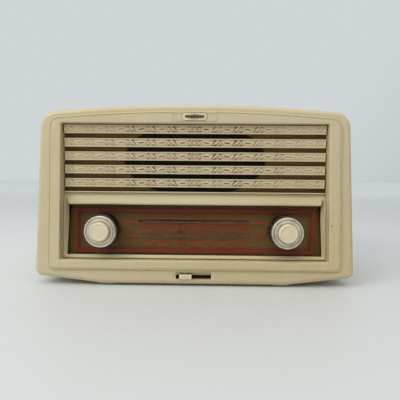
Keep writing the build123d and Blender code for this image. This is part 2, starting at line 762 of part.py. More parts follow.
with BuildPart() as chassis:
    with BuildSketch(Plane.YZ.offset(-CHASSIS_HALF)):
        front = FRONT_Y + CHASSIS_FRONT
        back = FRONT_Y + CHASSIS_BACK
        with BuildLine():
            Polyline(
                (front + CHASSIS_HEM, CHASSIS_FOOT),
                (front, CHASSIS_FOOT),
                (front, DECK_Z),
                (back, DECK_Z),
                (back, CHASSIS_FOOT),
                (back - CHASSIS_HEM, CHASSIS_FOOT),
                (back - CHASSIS_HEM, CHASSIS_FOOT + SHEET),
                (back - SHEET, CHASSIS_FOOT + SHEET),
                (back - SHEET, DECK_Z - SHEET),
                (front + SHEET, DECK_Z - SHEET),
                (front + SHEET, CHASSIS_FOOT + SHEET),
                (front + CHASSIS_HEM, CHASSIS_FOOT + SHEET),
                close=True,
            )
        make_face()
    extrude(amount=2 * CHASSIS_HALF)
    # tabs that reach the cabinet's posts
    for x, depth in CHASSIS_POSTS:
        edge = CHASSIS_FRONT + 8 if depth < 100 else CHASSIS_BACK - 8
        near, far = sorted((edge, depth))
        low = (x - TAB_HALF, near - 5, CHASSIS_FOOT)
        high = (x + TAB_HALF, far + 5, CHASSIS_FOOT + SHEET)
        add(box_between(low, high))
    for x, depth in CHASSIS_POSTS:
        with BuildSketch(level(CHASSIS_FOOT - 1)):
            with Locations((x, FRONT_Y + depth)):
                Circle(BOLT_R + 0.2)
        extrude(amount=4, mode=Mode.SUBTRACT)
    # hole for the volume control, and a bearing collar for the tuning spindle
    with BuildSketch(upright(CHASSIS_FRONT + 3)):
        with Locations((-KNOB_X, KNOB_Z)):
            Circle(BUSH_R)
    extrude(amount=6, mode=Mode.SUBTRACT)
    with BuildSketch(upright(CHASSIS_FRONT + SHEET + 3)):
        with Locations((KNOB_X, KNOB_Z)):
            Circle(COLLAR_R)
    extrude(amount=SHEET + 6)
    with BuildSketch(upright(CHASSIS_FRONT + SHEET + 4)):
        with Locations((KNOB_X, KNOB_Z)):
            Circle(SPINDLE_R + RUNNING_FIT)
    extrude(amount=SHEET + 8, mode=Mode.SUBTRACT)
    # holes under the valve holders
    with BuildSketch(level(DECK_Z - 4)):
        with Locations(*[(x, FRONT_Y + VALVE_ROW) for x in VALVES.values()]):
            Circle(VALVE_HOLE_R)
    extrude(amount=6, mode=Mode.SUBTRACT)
save(chassis, "chassis")

with BuildPart() as chassis_bolts:
    for x, depth in CHASSIS_POSTS:
        seat = UNDERSIDE_Z + BOLT_HEAD + BOLT_SLACK
        with BuildSketch(level(seat - BOLT_HEAD)):
            with Locations((x, FRONT_Y + depth)):
                RegularPolygon(BOLT_HEAD_R, 6)
        extrude(amount=BOLT_HEAD)
        with BuildSketch(level(seat)):
            with Locations((x, FRONT_Y + depth)):
                Circle(BOLT_R)
        extrude(amount=CHASSIS_FOOT + SHEET + 4 - seat)
        with BuildSketch(level(CHASSIS_FOOT + SHEET)):
            with Locations((x, FRONT_Y + depth)):
                RegularPolygon(BOLT_HEAD_R, 6)
        extrude(amount=3)
save(chassis_bolts, "chassis_bolts")


def transformer(x, depth, size_x, size_depth, height, stem):
    """A laminated core standing on the deck, with its winding round the middle."""
    coil = size_depth * 0.32
    with BuildPart() as core:
        with BuildSketch(level(DECK_Z)):
            with Locations((x, FRONT_Y + depth)):
                Rectangle(size_x, size_depth * 0.5)
        extrude(amount=height)
        window = size_x * 0.17
        for side in (-1, 1):
            middle = x + side * size_x * 0.25
            add(
                box_between(
                    (middle - window / 2, depth - size_depth, DECK_Z + height * 0.2),
                    (middle + window / 2, depth + size_depth, DECK_Z + height * 0.8),
                ),
                mode=Mode.SUBTRACT,
            )
        chamfer(core.edges().filter_by(Axis.Y).group_by(Axis.Z)[-1], length=1.5)
    with BuildPart() as winding:
        low = DECK_Z + height * 0.2 + 0.4
        high = DECK_Z + height * 0.8 - 0.4
        reach = size_x * 0.25 + window / 2 - 0.4
        with BuildSketch(level(low)):
            with Locations((x, FRONT_Y + depth)):
                RectangleRounded(2 * reach, size_depth * 0.5 + 2 * coil, 4)
        extrude(amount=high - low)
        add(
            box_between(
                (x - size_x * 0.25 + window / 2 - 0.4, depth - size_depth * 0.25 - 0.3, low - 1),
                (x + size_x * 0.25 - window / 2 + 0.4, depth + size_depth * 0.25 + 0.3, high + 1),
            ),
            mode=Mode.SUBTRACT,
        )
        # the outer limbs of the core stand clear of the winding
        for side in (-1, 1):
            edge = x + side * (size_x * 0.25 + window / 2 - 0.5)
            outer = x + side * size_x
            near, far = sorted((edge, outer))
            add(
                box_between(
                    (near, depth - size_depth * 0.25 - 0.3, low - 1),
                    (far, depth + size_depth * 0.25 + 0.3, high + 1),
                ),
                mode=Mode.SUBTRACT,
            )
    save(core, f"{stem}_core")
    save(winding, f"{stem}_winding")


transformer(x=-125.0, depth=80.0, size_x=62.0, size_depth=52.0, height=54.0, stem="mains_transformer")
transformer(x=-56.0, depth=82.0, size_x=38.0, size_depth=28.0, height=32.0, stem="output_transformer")

HOLDER = 6.0
HOLDER_R = 11.5
VALVE_R = 10.5
VALVE_FOOT_R = 9.5
VALVE_SHOULDER = 44.0      # height where the bulb starts to round over
VALVE_CROWN = 52.5
VALVE_PIP = 58.0
VALVE_PIP_R = 2.2
CAN_SIDE = 24.0
CAN_HEIGHT = 62.0
CAN_HOLE_R = 3.0
CAPACITOR = (-125.0, 130.0)
CAPACITOR_R = 16.0
CAPACITOR_HEIGHT = 72.0

with BuildPart() as valve_holders:
    with BuildSketch(level(DECK_Z)):
        with Locations(*[(x, FRONT_Y + VALVE_ROW) for x in VALVES.values()]):
            Circle(HOLDER_R)
    extrude(amount=HOLDER)
    fillet(valve_holders.faces().sort_by(Axis.Z)[-1].edges(), radius=1)
save(valve_holders, "valve_holders")


def valve(x):
    foot = DECK_Z + HOLDER
    shoulder = (x + VALVE_R, foot + VALVE_SHOULDER)
    crown = (x + VALVE_PIP_R, foot + VALVE_CROWN)
    with BuildPart() as tube:
        with BuildSketch(Plane.XZ.offset(-FRONT_Y - VALVE_ROW)):
            with BuildLine():
                Polyline((x, foot), (x + VALVE_FOOT_R, foot), (x + VALVE_R, foot + 2), shoulder)
                RadiusArc(shoulder, crown, -VALVE_FOOT_R)
                Polyline(crown, (x, foot + VALVE_PIP), (x, foot))
            make_face()
        revolve(axis=Axis((x, FRONT_Y + VALVE_ROW, 0), (0, 0, 1)))
    return tube


with BuildPart() as valves:
    for x in VALVES.values():
        add(valve(x).part)
save(valves, "valves")

with BuildPart() as if_cans:
    with BuildSketch(level(DECK_Z)):
        with Locations(*[(x, FRONT_Y + VALVE_ROW) for x in CAN_PLACES]):
            RectangleRounded(CAN_SIDE, CAN_SIDE, 3)
    extrude(amount=CAN_HEIGHT)
    fillet(if_cans.faces().sort_by(Axis.Z)[-1].edges(), radius=2)
    for x in CAN_PLACES:
        with BuildSketch(level(DECK_Z + CAN_HEIGHT + 1)):
            with Locations((x, FRONT_Y + VALVE_ROW)):
                Circle(CAN_HOLE_R)
        extrude(amount=-4, mode=Mode.SUBTRACT)
save(if_cans, "if_cans")

with BuildPart() as smoothing_capacitor:
    with BuildSketch(level(DECK_Z)):
        with Locations((CAPACITOR[0], FRONT_Y + CAPACITOR[1])):
            Circle(CAPACITOR_R)
    extrude(amount=CAPACITOR_HEIGHT)
    fillet(smoothing_capacitor.faces().sort_by(Axis.Z)[-1].edges(), radius=2.5)
save(smoothing_capacitor, "smoothing_capacitor")


# ---------------------------------------------------------------------------
# Tuning capacitor: fixed plates in a frame, moving plates on the drum's shaft
# ---------------------------------------------------------------------------
GANG_FRONT = 50.0
GANG_BACK = 98.0
GANG_HALF = 25.0
GANG_TOP = 163.0
END_PLATE = 2.0
PLATE = 0.8
PLATE_PITCH = 5.0
PLATE_COUNT = 7
PLATE_START = 58.0
ROTOR_R = 21.0
STATOR_HALF = 20.0
STATOR_LOW = DRUM_Z - 26.0
STATOR_HIGH = DRUM_Z - 5.0
STATOR_POST_R = 1.8

with BuildPart() as gang_frame:
    for depth in (GANG_FRONT, GANG_BACK - END_PLATE):
        with BuildSketch(upright(depth)):
            rect_between(DRUM_X - GANG_HALF, DECK_Z, DRUM_X + GANG_HALF, GANG_TOP)
            with Locations((DRUM_X, DRUM_Z)):
                Circle(SPINDLE_R + RUNNING_FIT, mode=Mode.SUBTRACT)
        extrude(amount=-END_PLATE)
    add(
        box_between(
            (DRUM_X - GANG_HALF, GANG_FRONT, DECK_Z),
            (DRUM_X + GANG_HALF, GANG_BACK, DECK_Z + END_PLATE),
        )
    )
save(gang_frame, "gang_frame")

with BuildPart() as gang_stators:
    for index in range(PLATE_COUNT):
        with BuildSketch(upright(PLATE_START + index * PLATE_PITCH)):
            rect_between(DRUM_X - STATOR_HALF, STATOR_LOW, DRUM_X + STATOR_HALF, STATOR_HIGH)
        extrude(amount=-PLATE)
    # posts that carry the fixed plates between the end plates
    with BuildSketch(upright(GANG_FRONT + END_PLATE)):
        with Locations((DRUM_X - 17, STATOR_LOW + 2), (DRUM_X + 17, STATOR_LOW + 2)):
            Circle(STATOR_POST_R)
    extrude(amount=-(GANG_BACK - GANG_FRONT - 2 * END_PLATE))
save(gang_stators, "gang_stators")

with BuildPart() as gang_rotor:
    with BuildSketch(upright(GANG_BACK + 3)):
        with Locations((DRUM_X, DRUM_Z)):
            Circle(SPINDLE_R)
    extrude(amount=GANG_BACK + 3 - DRIVE_DEPTH + 3)
    for index in range(PLATE_COUNT - 1):
        with BuildSketch(upright(PLATE_START + (index + 0.5) * PLATE_PITCH)):
            with BuildLine():
                Line((DRUM_X - 4, DRUM_Z + ROTOR_R - 4), (DRUM_X - 4, DRUM_Z - ROTOR_R + 4))
                ThreePointArc(
                    (DRUM_X - 4, DRUM_Z - ROTOR_R + 4),
                    (DRUM_X + ROTOR_R - 1, DRUM_Z),
                    (DRUM_X - 4, DRUM_Z + ROTOR_R - 4),
                )
            make_face()
        extrude(amount=-PLATE)
save(gang_rotor, "gang_rotor")

GROOVE = 1.2
DRUM_HUB_R = 8.0
DRUM_HALF_THICK = 2.5
DRUM_WEB = 0.8             # half the thickness of the web between hub and rim

with BuildPart() as drive_drum:
    rim_out = DRUM_R + 1.4
    floor_r = DRUM_R - CORD_R - 0.1
    middle = FRONT_Y + DRIVE_DEPTH
    with BuildSketch(Plane.XY.offset(DRUM_Z)):
        with BuildLine():
            Polyline(
                (DRUM_X + SPINDLE_R, middle - DRUM_HALF_THICK),
                (DRUM_X + DRUM_HUB_R, middle - DRUM_HALF_THICK),
                (DRUM_X + DRUM_HUB_R, middle - DRUM_WEB),
                (DRUM_X + floor_r - 3, middle - DRUM_WEB),
                (DRUM_X + floor_r - 3, middle - DRUM_HALF_THICK),
                (DRUM_X + rim_out, middle - DRUM_HALF_THICK),
                (DRUM_X + rim_out, middle - GROOVE),
                (DRUM_X + floor_r, middle - GROOVE / 2),
                (DRUM_X + floor_r, middle + GROOVE / 2),
                (DRUM_X + rim_out, middle + GROOVE),
                (DRUM_X + rim_out, middle + DRUM_HALF_THICK),
                (DRUM_X + floor_r - 3, middle + DRUM_HALF_THICK),
                (DRUM_X + floor_r - 3, middle + DRUM_WEB),
                (DRUM_X + DRUM_HUB_R, middle + DRUM_WEB),
                (DRUM_X + DRUM_HUB_R, middle + 8),
                (DRUM_X + SPINDLE_R, middle + 8),
                close=True,
            )
        make_face()
    revolve(axis=Axis((DRUM_X, 0, DRUM_Z), (0, 1, 0)))
    # lightening holes
    with BuildSketch(upright(DRIVE_DEPTH + 4)):
        with Locations((DRUM_X, DRUM_Z)):
            with PolarLocations(22, 5):
                Circle(7)
    extrude(amount=8, mode=Mode.SUBTRACT)
save(drive_drum, "drive_drum")


# ---------------------------------------------------------------------------
# Controls: each knob is a black skirt, a bright ring and a cream cap
# ---------------------------------------------------------------------------
def turned(x, z, profile):
    """Revolve a profile of (radius, depth) points about a front-to-back axis."""
    with BuildPart() as piece:
        with BuildSketch(Plane.XY.offset(z)):
            with BuildLine():
                Polyline(*[(x + r, FRONT_Y + depth) for r, depth in profile], close=True)
            make_face()
        revolve(axis=Axis((x, 0, z), (0, 1, 0)))
    return piece


SKIRT_BACK = 14.2
SKIRT_FRONT = -0.8
RING_FRONT = -4.6
CAP_FRONT = -8.0
RING_STEP_R = 15.4
SPINDLE_FRONT = -3.0


def knob(x, stem):
    skirt = turned(
        x, KNOB_Z,
        [
            (SPINDLE_R, SKIRT_FRONT), (SPINDLE_R, SKIRT_BACK + 1.5), (7, SKIRT_BACK + 1.5),
            (7, SKIRT_FRONT + 4), (KNOB_R - 2.5, SKIRT_FRONT + 4), (KNOB_R - 2.5, SKIRT_BACK),
            (KNOB_R + 0.3, SKIRT_BACK), (KNOB_R, SKIRT_BACK - 6), (KNOB_R - 0.4, SKIRT_FRONT),
        ],
    )
    ring = turned(
        x, KNOB_Z,
        [
            (CAP_R + 0.2, SKIRT_FRONT), (RING_R, SKIRT_FRONT), (RING_R, RING_FRONT + 2.4),
            (RING_R - 0.5, RING_FRONT + 1.0), (RING_R - 1.4, RING_FRONT + 0.4),
            (RING_STEP_R + 0.5, RING_FRONT), (RING_STEP_R, RING_FRONT + 0.7),
            (CAP_R + 0.2, RING_FRONT + 1.6),
        ],
    )
    cap = turned(
        x, KNOB_Z,
        [
            (SPINDLE_R, SKIRT_FRONT), (CAP_R, SKIRT_FRONT), (CAP_R, CAP_FRONT + 2.2),
            (CAP_R - 0.7, CAP_FRONT + 0.9), (CAP_R - 2.2, CAP_FRONT), (CAP_R - 4, CAP_FRONT + 0.5),
            (0, CAP_FRONT + 0.9), (0, SPINDLE_FRONT), (SPINDLE_R, SPINDLE_FRONT),
        ],
    )
    save(skirt, f"{stem}_knob_skirt")
    save(ring, f"{stem}_knob_ring")
    save(cap, f"{stem}_knob_cap")


knob(-KNOB_X, "volume")
knob(KNOB_X, "tuning")

tuning_spindle = turned(
    KNOB_X, KNOB_Z,
    [
        (0, SPINDLE_FRONT), (SPINDLE_R, SPINDLE_FRONT), (SPINDLE_R, DRIVE_DEPTH - 2.5),
        (5, DRIVE_DEPTH - 2.5), (5, DRIVE_DEPTH - 1.6), (SPOOL_R - CORD_R - 0.1, DRIVE_DEPTH - 0.8),
        (SPOOL_R - CORD_R - 0.1, DRIVE_DEPTH + 0.8), (5, DRIVE_DEPTH + 1.6),
        (5, DRIVE_DEPTH + 2.5), (SPINDLE_R, DRIVE_DEPTH + 2.5), (SPINDLE_R, 54), (0, 54),
    ],
)
save(tuning_spindle, "tuning_spindle")

volume_spindle = turned(
    -KNOB_X, KNOB_Z, [(0, SPINDLE_FRONT), (SPINDLE_R, SPINDLE_FRONT), (SPINDLE_R, 52), (0, 52)]
)
save(volume_spindle, "volume_spindle")

bore = SPINDLE_R + RUNNING_FIT
volume_control = turned(
    -KNOB_X, KNOB_Z,
    [
        (bore, CHASSIS_FRONT - 6), (BUSH_R, CHASSIS_FRONT - 6), (BUSH_R, CHASSIS_FRONT + SHEET),
        (13, CHASSIS_FRONT + SHEET), (13, CHASSIS_FRONT + 17), (0, CHASSIS_FRONT + 17),
        (0, 54), (bore, 54),
    ],
)
save(volume_control, "volume_control")


# ---------------------------------------------------------------------------
# Pointer, its rail, the pulleys and the cord
# ---------------------------------------------------------------------------
RAIL_Z = RUN_Z - 6.0
RAIL_R = 1.5
RAIL_DEPTH = 34.0
RAIL_HALF = 78.0
CARRIAGE_HALF = 6.0

with BuildPart() as pointer_rail:
    with BuildSketch(Plane.YZ.offset(-RAIL_HALF)):
        with Locations((FRONT_Y + RAIL_DEPTH, RAIL_Z)):
            Circle(RAIL_R)
    extrude(amount=2 * RAIL_HALF)
    # feet that carry the rail from the chassis
    for x in (-RAIL_HALF, RAIL_HALF - 3):
        add(box_between((x, RAIL_DEPTH - 2, RAIL_Z - 3), (x + 3, CHASSIS_FRONT, RAIL_Z + 3)))
save(pointer_rail, "pointer_rail")

with BuildPart() as dial_pointer:
    carriage_back = DRIVE_DEPTH + 1.6
    carriage_front = dial_depth(RUN_Z, BACKPLATE_BEHIND + BACKPLATE_THICK) + 1.2
    add(
        box_between(
            (POINTER_X - CARRIAGE_HALF, carriage_front, RAIL_Z - 3),
            (POINTER_X + CARRIAGE_HALF, carriage_back, RUN_Z + 2.4),
        )
    )
    # runs on the rail and is clipped round the cord
    with BuildSketch(Plane.YZ.offset(POINTER_X - CARRIAGE_HALF - 1)):
        with Locations((FRONT_Y + RAIL_DEPTH, RAIL_Z)):
            Circle(RAIL_R + RUNNING_FIT)
        with Locations((FRONT_Y + DRIVE_DEPTH, RUN_Z)):
            Circle(CORD_R + 0.25)
    extrude(amount=2 * CARRIAGE_HALF + 2, mode=Mode.SUBTRACT)
    # neck through the slot, then the needle hanging in front of the backplate
    neck_front = dial_depth(RUN_Z, GLASS_THICK + 1.4)
    add(
        box_between(
            (POINTER_X - 1.2, neck_front, RUN_Z - 0.8),
            (POINTER_X + 1.2, carriage_front + 1, RUN_Z + 0.8),
        )
    )
    with BuildSketch(dial_plane(GLASS_THICK + 1.2)):
        rect_between(POINTER_X - 0.5, dial_y(POINTER_LOW), POINTER_X + 0.5, dial_y(RUN_Z + 2))
    extrude(amount=-1.4)
save(dial_pointer, "dial_pointer")


def pulley(place, stem):
    x, z, run_r = place
    floor_r = run_r - CORD_R - 0.1
    wheel = turned(
        x, z,
        [
            (1.5 + RUNNING_FIT, DRIVE_DEPTH - 1.6), (run_r + 1.2, DRIVE_DEPTH - 1.6),
            (run_r + 1.2, DRIVE_DEPTH - 1.1), (floor_r, DRIVE_DEPTH - 0.5),
            (floor_r, DRIVE_DEPTH + 0.5), (run_r + 1.2, DRIVE_DEPTH + 1.1),
            (run_r + 1.2, DRIVE_DEPTH + 1.6), (1.5 + RUNNING_FIT, DRIVE_DEPTH + 1.6),
        ],
    )
    save(wheel, f"{stem}_pulley")


pulley(LEFT_PULLEY, "left")
pulley(RIGHT_PULLEY, "right")

with BuildPart() as pulley_pins:
    for x, z, run_r in (LEFT_PULLEY, RIGHT_PULLEY):
        with BuildSketch(upright(CHASSIS_FRONT)):
            with Locations((x, z)):
                Circle(1.5)
        extrude(amount=CHASSIS_FRONT - DRIVE_DEPTH + 3.2)
        with BuildSketch(upright(CHASSIS_FRONT)):
            with Locations((x, z)):
                Circle(3)
        extrude(amount=CHASSIS_FRONT - DRIVE_DEPTH - 2.2)
        with BuildSketch(upright(DRIVE_DEPTH - 2.2)):
            with Locations((x, z)):
                Circle(2.6)
        extrude(amount=1)
save(pulley_pins, "pulley_pins")


def tangent(first, second):
    """Where a cord leaves one round and meets the next. Each round is
    (x, z, radius), with a negative radius where the cord turns the other way."""
    reach_x = second[0] - first[0]
    reach_z = second[1] - first[1]
    span = (reach_x ** 2 + reach_z ** 2) ** 0.5
    heading = atan2(reach_z, reach_x) + asin((second[2] - first[2]) / span)
    side = (sin(heading), -cos(heading))
    leave = (first[0] - first[2] * side[0], first[1] - first[2] * side[1])
    meet = (second[0] - second[2] * side[0], second[1] - second[2] * side[1])
    return leave, meet


drum = (DRUM_X, DRUM_Z, DRUM_R)
spool = (KNOB_X, KNOB_Z, SPOOL_R)
left = LEFT_PULLEY
right = (RIGHT_PULLEY[0], RIGHT_PULLEY[1], -RIGHT_PULLEY[2])
drum_off, spool_on = tangent(drum, spool)
spool_off, left_on = tangent(spool, left)
left_off, right_on = tangent(left, right)
right_off, drum_on = tangent(right, drum)


def along(round_place, angle):
    """The point of a round at an angle from +X, in the cord's plane."""
    reach = abs(round_place[2])
    return (
        round_place[0] + reach * cos(radians(angle)),
        round_place[1] + reach * sin(radians(angle)),
    )


CORD_GAP = 0.015           # share of the last run left open where the ends are tied
cord_end = (
    drum_on[0] * (1 - CORD_GAP) + right_off[0] * CORD_GAP,
    drum_on[1] * (1 - CORD_GAP) + right_off[1] * CORD_GAP,
)

with BuildPart() as drive_cord:
    with BuildLine(upright(DRIVE_DEPTH)) as route:
        ThreePointArc(drum_on, along(drum, 90), drum_off)
        Line(drum_off, spool_on)
        ThreePointArc(spool_on, along(spool, -60), spool_off)
        Line(spool_off, left_on)
        ThreePointArc(left_on, along(left, 180), left_off)
        Line(left_off, right_on)
        ThreePointArc(right_on, along(right, -45), right_off)
        Line(right_off, cord_end)
    with BuildSketch(Plane(origin=route.line @ 0, z_dir=route.line % 0)):
        Circle(CORD_R)
    sweep(path=route.line)
save(drive_cord, "drive_cord")


# ---------------------------------------------------------------------------
# Wave-change switch behind the slot in the apron
# ---------------------------------------------------------------------------
SWITCH_FRONT = 16.0
SWITCH_BACK = 32.0
SWITCH_HALF = 38.0
FLOOR_Z = UNDERSIDE_Z + WALL
LEVER_LOW = SLOT_LOW + 0.4
LEVER_HIGH = LEVER_LOW + 5.2

SWITCH_HEIGHT = 12.0
GRIP_FRONT = -1.6
GRIP_BACK = 4.5
GRIP_GROOVE_R = 0.7
TAIL_HALF = 3.0

with BuildPart() as wave_switch:
    add(
        box_between(
            (-SWITCH_HALF, SWITCH_FRONT, FLOOR_Z),
            (SWITCH_HALF, SWITCH_BACK, FLOOR_Z + SWITCH_HEIGHT),
        )
    )
    # channel that the lever's tail slides in
    add(
        box_between(
            (-SLOT_HALF - 4, SWITCH_FRONT - 1, LEVER_LOW - 0.5),
            (SLOT_HALF + 4, SWITCH_BACK - 5, LEVER_LOW + 3.2),
        ),
        mode=Mode.SUBTRACT,
    )
save(wave_switch, "wave_switch")

with BuildPart() as wave_lever:
    add(
        box_between(
            (LEVER_X - LEVER_WIDTH / 2, GRIP_FRONT, LEVER_LOW),
            (LEVER_X + LEVER_WIDTH / 2, GRIP_BACK, LEVER_HIGH),
        )
    )
    fillet(wave_lever.faces().sort_by(Axis.Y)[0].edges(), radius=1.2)
    # finger grooves across the grip
    with BuildSketch(level(LEVER_LOW - 1)):
        with Locations(*[(LEVER_X + step, FRONT_Y + GRIP_FRONT) for step in (-3.5, 0, 3.5)]):
            Circle(GRIP_GROOVE_R)
    extrude(amount=LEVER_HIGH - LEVER_LOW + 2, mode=Mode.SUBTRACT)
    # tail that works the switch
    add(
        box_between(
            (LEVER_X - TAIL_HALF, GRIP_BACK - 1, LEVER_LOW),
            (LEVER_X + TAIL_HALF, SWITCH_BACK - 8, LEVER_LOW + 2.6),
        )
    )
save(wave_lever, "wave_lever")

PLATE_DEPTH = 6.2
PLATE_HEIGHT = 2.4

with BuildPart() as wave_slot_plate:
    low = LEVER_LOW + 3.6
    high = low + PLATE_HEIGHT
    end = SLOT_HALF + 5
    add(box_between((-end, PLATE_DEPTH, low), (end, PLATE_DEPTH + 1, high)))
    for x in (-end, end - 1):
        add(box_between((x, PLATE_DEPTH, low), (x + 1, SWITCH_FRONT, high)))
save(wave_slot_plate, "wave_slot_plate")


# ---------------------------------------------------------------------------
# Aerial rod and dial lamps
# ---------------------------------------------------------------------------
ROD_R = 4.8
ROD_Z = 106.0
ROD_DEPTH = 141.0
ROD_LOW = -62.0
ROD_HIGH = 138.0


def along_x(low_x, high_x, depth, z, outer, inner=0.0):
    with BuildPart() as tube:
        with BuildSketch(Plane.YZ.offset(low_x)):
            with Locations((FRONT_Y + depth, z)):
                Circle(outer)
                if inner > 0:
                    Circle(inner, mode=Mode.SUBTRACT)
        extrude(amount=high_x - low_x)
    return tube.part


with BuildPart() as aerial_rod:
    add(along_x(ROD_LOW, ROD_HIGH, ROD_DEPTH, ROD_Z, ROD_R))
save(aerial_rod, "aerial_rod")

with BuildPart() as aerial_coils:
    for low_x, high_x in ((-42, -18), (10, 24), (84, 112)):
        add(along_x(low_x, high_x, ROD_DEPTH, ROD_Z, ROD_R + 1.6, ROD_R + 0.1))
save(aerial_coils, "aerial_coils")

with BuildPart() as aerial_brackets:
    for x in (ROD_LOW + 6, ROD_HIGH - 10):
        add(box_between((x, ROD_DEPTH - 7.5, DECK_Z), (x + 4, ROD_DEPTH + 7.5, ROD_Z + 7)))
        add(along_x(x - 1, x + 5, ROD_DEPTH, ROD_Z, ROD_R + 0.02), mode=Mode.SUBTRACT)
save(aerial_brackets, "aerial_brackets")

LAMP_X = 45.0
LAMP_DEPTH = 38.5
LAMP_Z = 90.0
LAMP_R = 3.6
LAMP_HALF = 12.0
LAMP_CAP = 5.0
LAMP_CAP_R = 4.2

with BuildPart() as dial_lamps:
    for x in (-LAMP_X, LAMP_X):
        near, far = x - LAMP_HALF, x + LAMP_HALF
        add(along_x(near, far, LAMP_DEPTH, LAMP_Z, LAMP_R))
        add(along_x(near - LAMP_CAP, near, LAMP_DEPTH, LAMP_Z, LAMP_CAP_R))
        add(along_x(far, far + LAMP_CAP, LAMP_DEPTH, LAMP_Z, LAMP_CAP_R))
save(dial_lamps, "dial_lamps")


# ---------------------------------------------------------------------------
# Back: perforated board, sockets for aerial and earth, mains lead grommet
# ---------------------------------------------------------------------------
GROMMET_X = 118.0
GROMMET_Z = 32.0
COVER_BACK = BACK_COVER_DEPTH + BACK_COVER_THICK
SOCKET_PLACES = [(SOCKET_X - SOCKET_PITCH / 2, SOCKET_Z), (SOCKET_X + SOCKET_PITCH / 2, SOCKET_Z)]
SOCKET_R = 2.0
SOCKET_DEPTH = 14.0
SOCKET_OUTER_R = 3.5
SOCKET_LENGTH = 18.0
COVER_HOLE_R = 2.0
COVER_SCREW_R = 1.5
COVER_HEAD_R = 4.2
COVER_HEAD = 2.2
LEAD_R = 3.6
GROMMET_LIP = 1.8
GROMMET_LIP_R = 9.0
GROMMET_NECK_R = 5.9
GROMMET_INNER_R = 8.0
VENT = (22.0, 4.0)
VENT_PITCH = (30.0, 11.0)

with BuildPart() as back_cover:
    with BuildSketch(upright(COVER_BACK)):
        add(cabinet_outline(WALL + 0.4))
        # ventilation slots, high up behind the valves and low down under them
        with Locations((0, 158)):
            with GridLocations(*VENT_PITCH, 9, 6):
                SlotOverall(*VENT, mode=Mode.SUBTRACT)
        with Locations((0, 62)):
            with GridLocations(*VENT_PITCH, 5, 3):
                SlotOverall(*VENT, mode=Mode.SUBTRACT)
        with Locations(*BACK_BOSSES):
            Circle(COVER_HOLE_R, mode=Mode.SUBTRACT)
        with Locations((GROMMET_X, GROMMET_Z)):
            Circle(GROMMET_NECK_R + 0.1, mode=Mode.SUBTRACT)
        with Locations(*SOCKET_PLACES):
            Circle(SOCKET_OUTER_R + 0.2, mode=Mode.SUBTRACT)
    extrude(amount=BACK_COVER_THICK)
save(back_cover, "back_cover")

with BuildPart() as back_cover_screws:
    with BuildSketch(upright(COVER_BACK)):
        with Locations(*BACK_BOSSES):
            Circle(COVER_SCREW_R)
    extrude(amount=BACK_COVER_THICK + 9)
    with BuildSketch(upright(COVER_BACK + COVER_HEAD)):
        with Locations(*BACK_BOSSES):
            Circle(COVER_HEAD_R)
    extrude(amount=COVER_HEAD)
    head_y = FRONT_Y + COVER_BACK + COVER_HEAD
    backs = back_cover_screws.faces().filter_by(lambda f: abs(f.center().Y - head_y) < 0.01)
    fillet(backs.edges(), radius=1.4)
    with BuildSketch(upright(COVER_BACK + COVER_HEAD)):
        with Locations(*BACK_BOSSES):
            Rectangle(9, 0.9)
    extrude(amount=1.0, mode=Mode.SUBTRACT)
save(back_cover_screws, "back_cover_screws")

with BuildPart() as socket_panel:
    with BuildSketch(upright(COVER_BACK + 2)):
        with Locations((SOCKET_X, SOCKET_Z)):
            RectangleRounded(44, 18, 2.5)
        with Locations(*SOCKET_PLACES):
            Circle(SOCKET_OUTER_R, mode=Mode.SUBTRACT)
    extrude(amount=2)
save(socket_panel, "socket_panel")

with BuildPart() as aerial_sockets:
    with BuildSketch(upright(COVER_BACK + 3)):
        with Locations(*SOCKET_PLACES):
            Circle(SOCKET_OUTER_R)
    extrude(amount=SOCKET_LENGTH)
    with BuildSketch(upright(COVER_BACK + 3)):
        with Locations(*SOCKET_PLACES):
            Circle(SOCKET_R)
    extrude(amount=SOCKET_DEPTH, mode=Mode.SUBTRACT)
save(aerial_sockets, "aerial_sockets")

with BuildPart() as mains_grommet:
    with BuildSketch(upright(COVER_BACK + GROMMET_LIP)):
        with Locations((GROMMET_X, GROMMET_Z)):
            Circle(GROMMET_LIP_R)
    extrude(amount=GROMMET_LIP)
    with BuildSketch(upright(COVER_BACK)):
        with Locations((GROMMET_X, GROMMET_Z)):
            Circle(GROMMET_NECK_R)
    extrude(amount=BACK_COVER_THICK)
    with BuildSketch(upright(BACK_COVER_DEPTH)):
        with Locations((GROMMET_X, GROMMET_Z)):
            Circle(GROMMET_INNER_R)
    extrude(amount=GROMMET_LIP)
    with BuildSketch(upright(COVER_BACK + 3)):
        with Locations((GROMMET_X, GROMMET_Z)):
            Circle(LEAD_R)
    extrude(amount=10, mode=Mode.SUBTRACT)
save(mains_grommet, "mains_grommet")
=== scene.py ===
import json
from math import cos, exp, pi, radians, sin, tan

import bmesh
import bpy
import numpy as np
from mathutils import Matrix, Vector


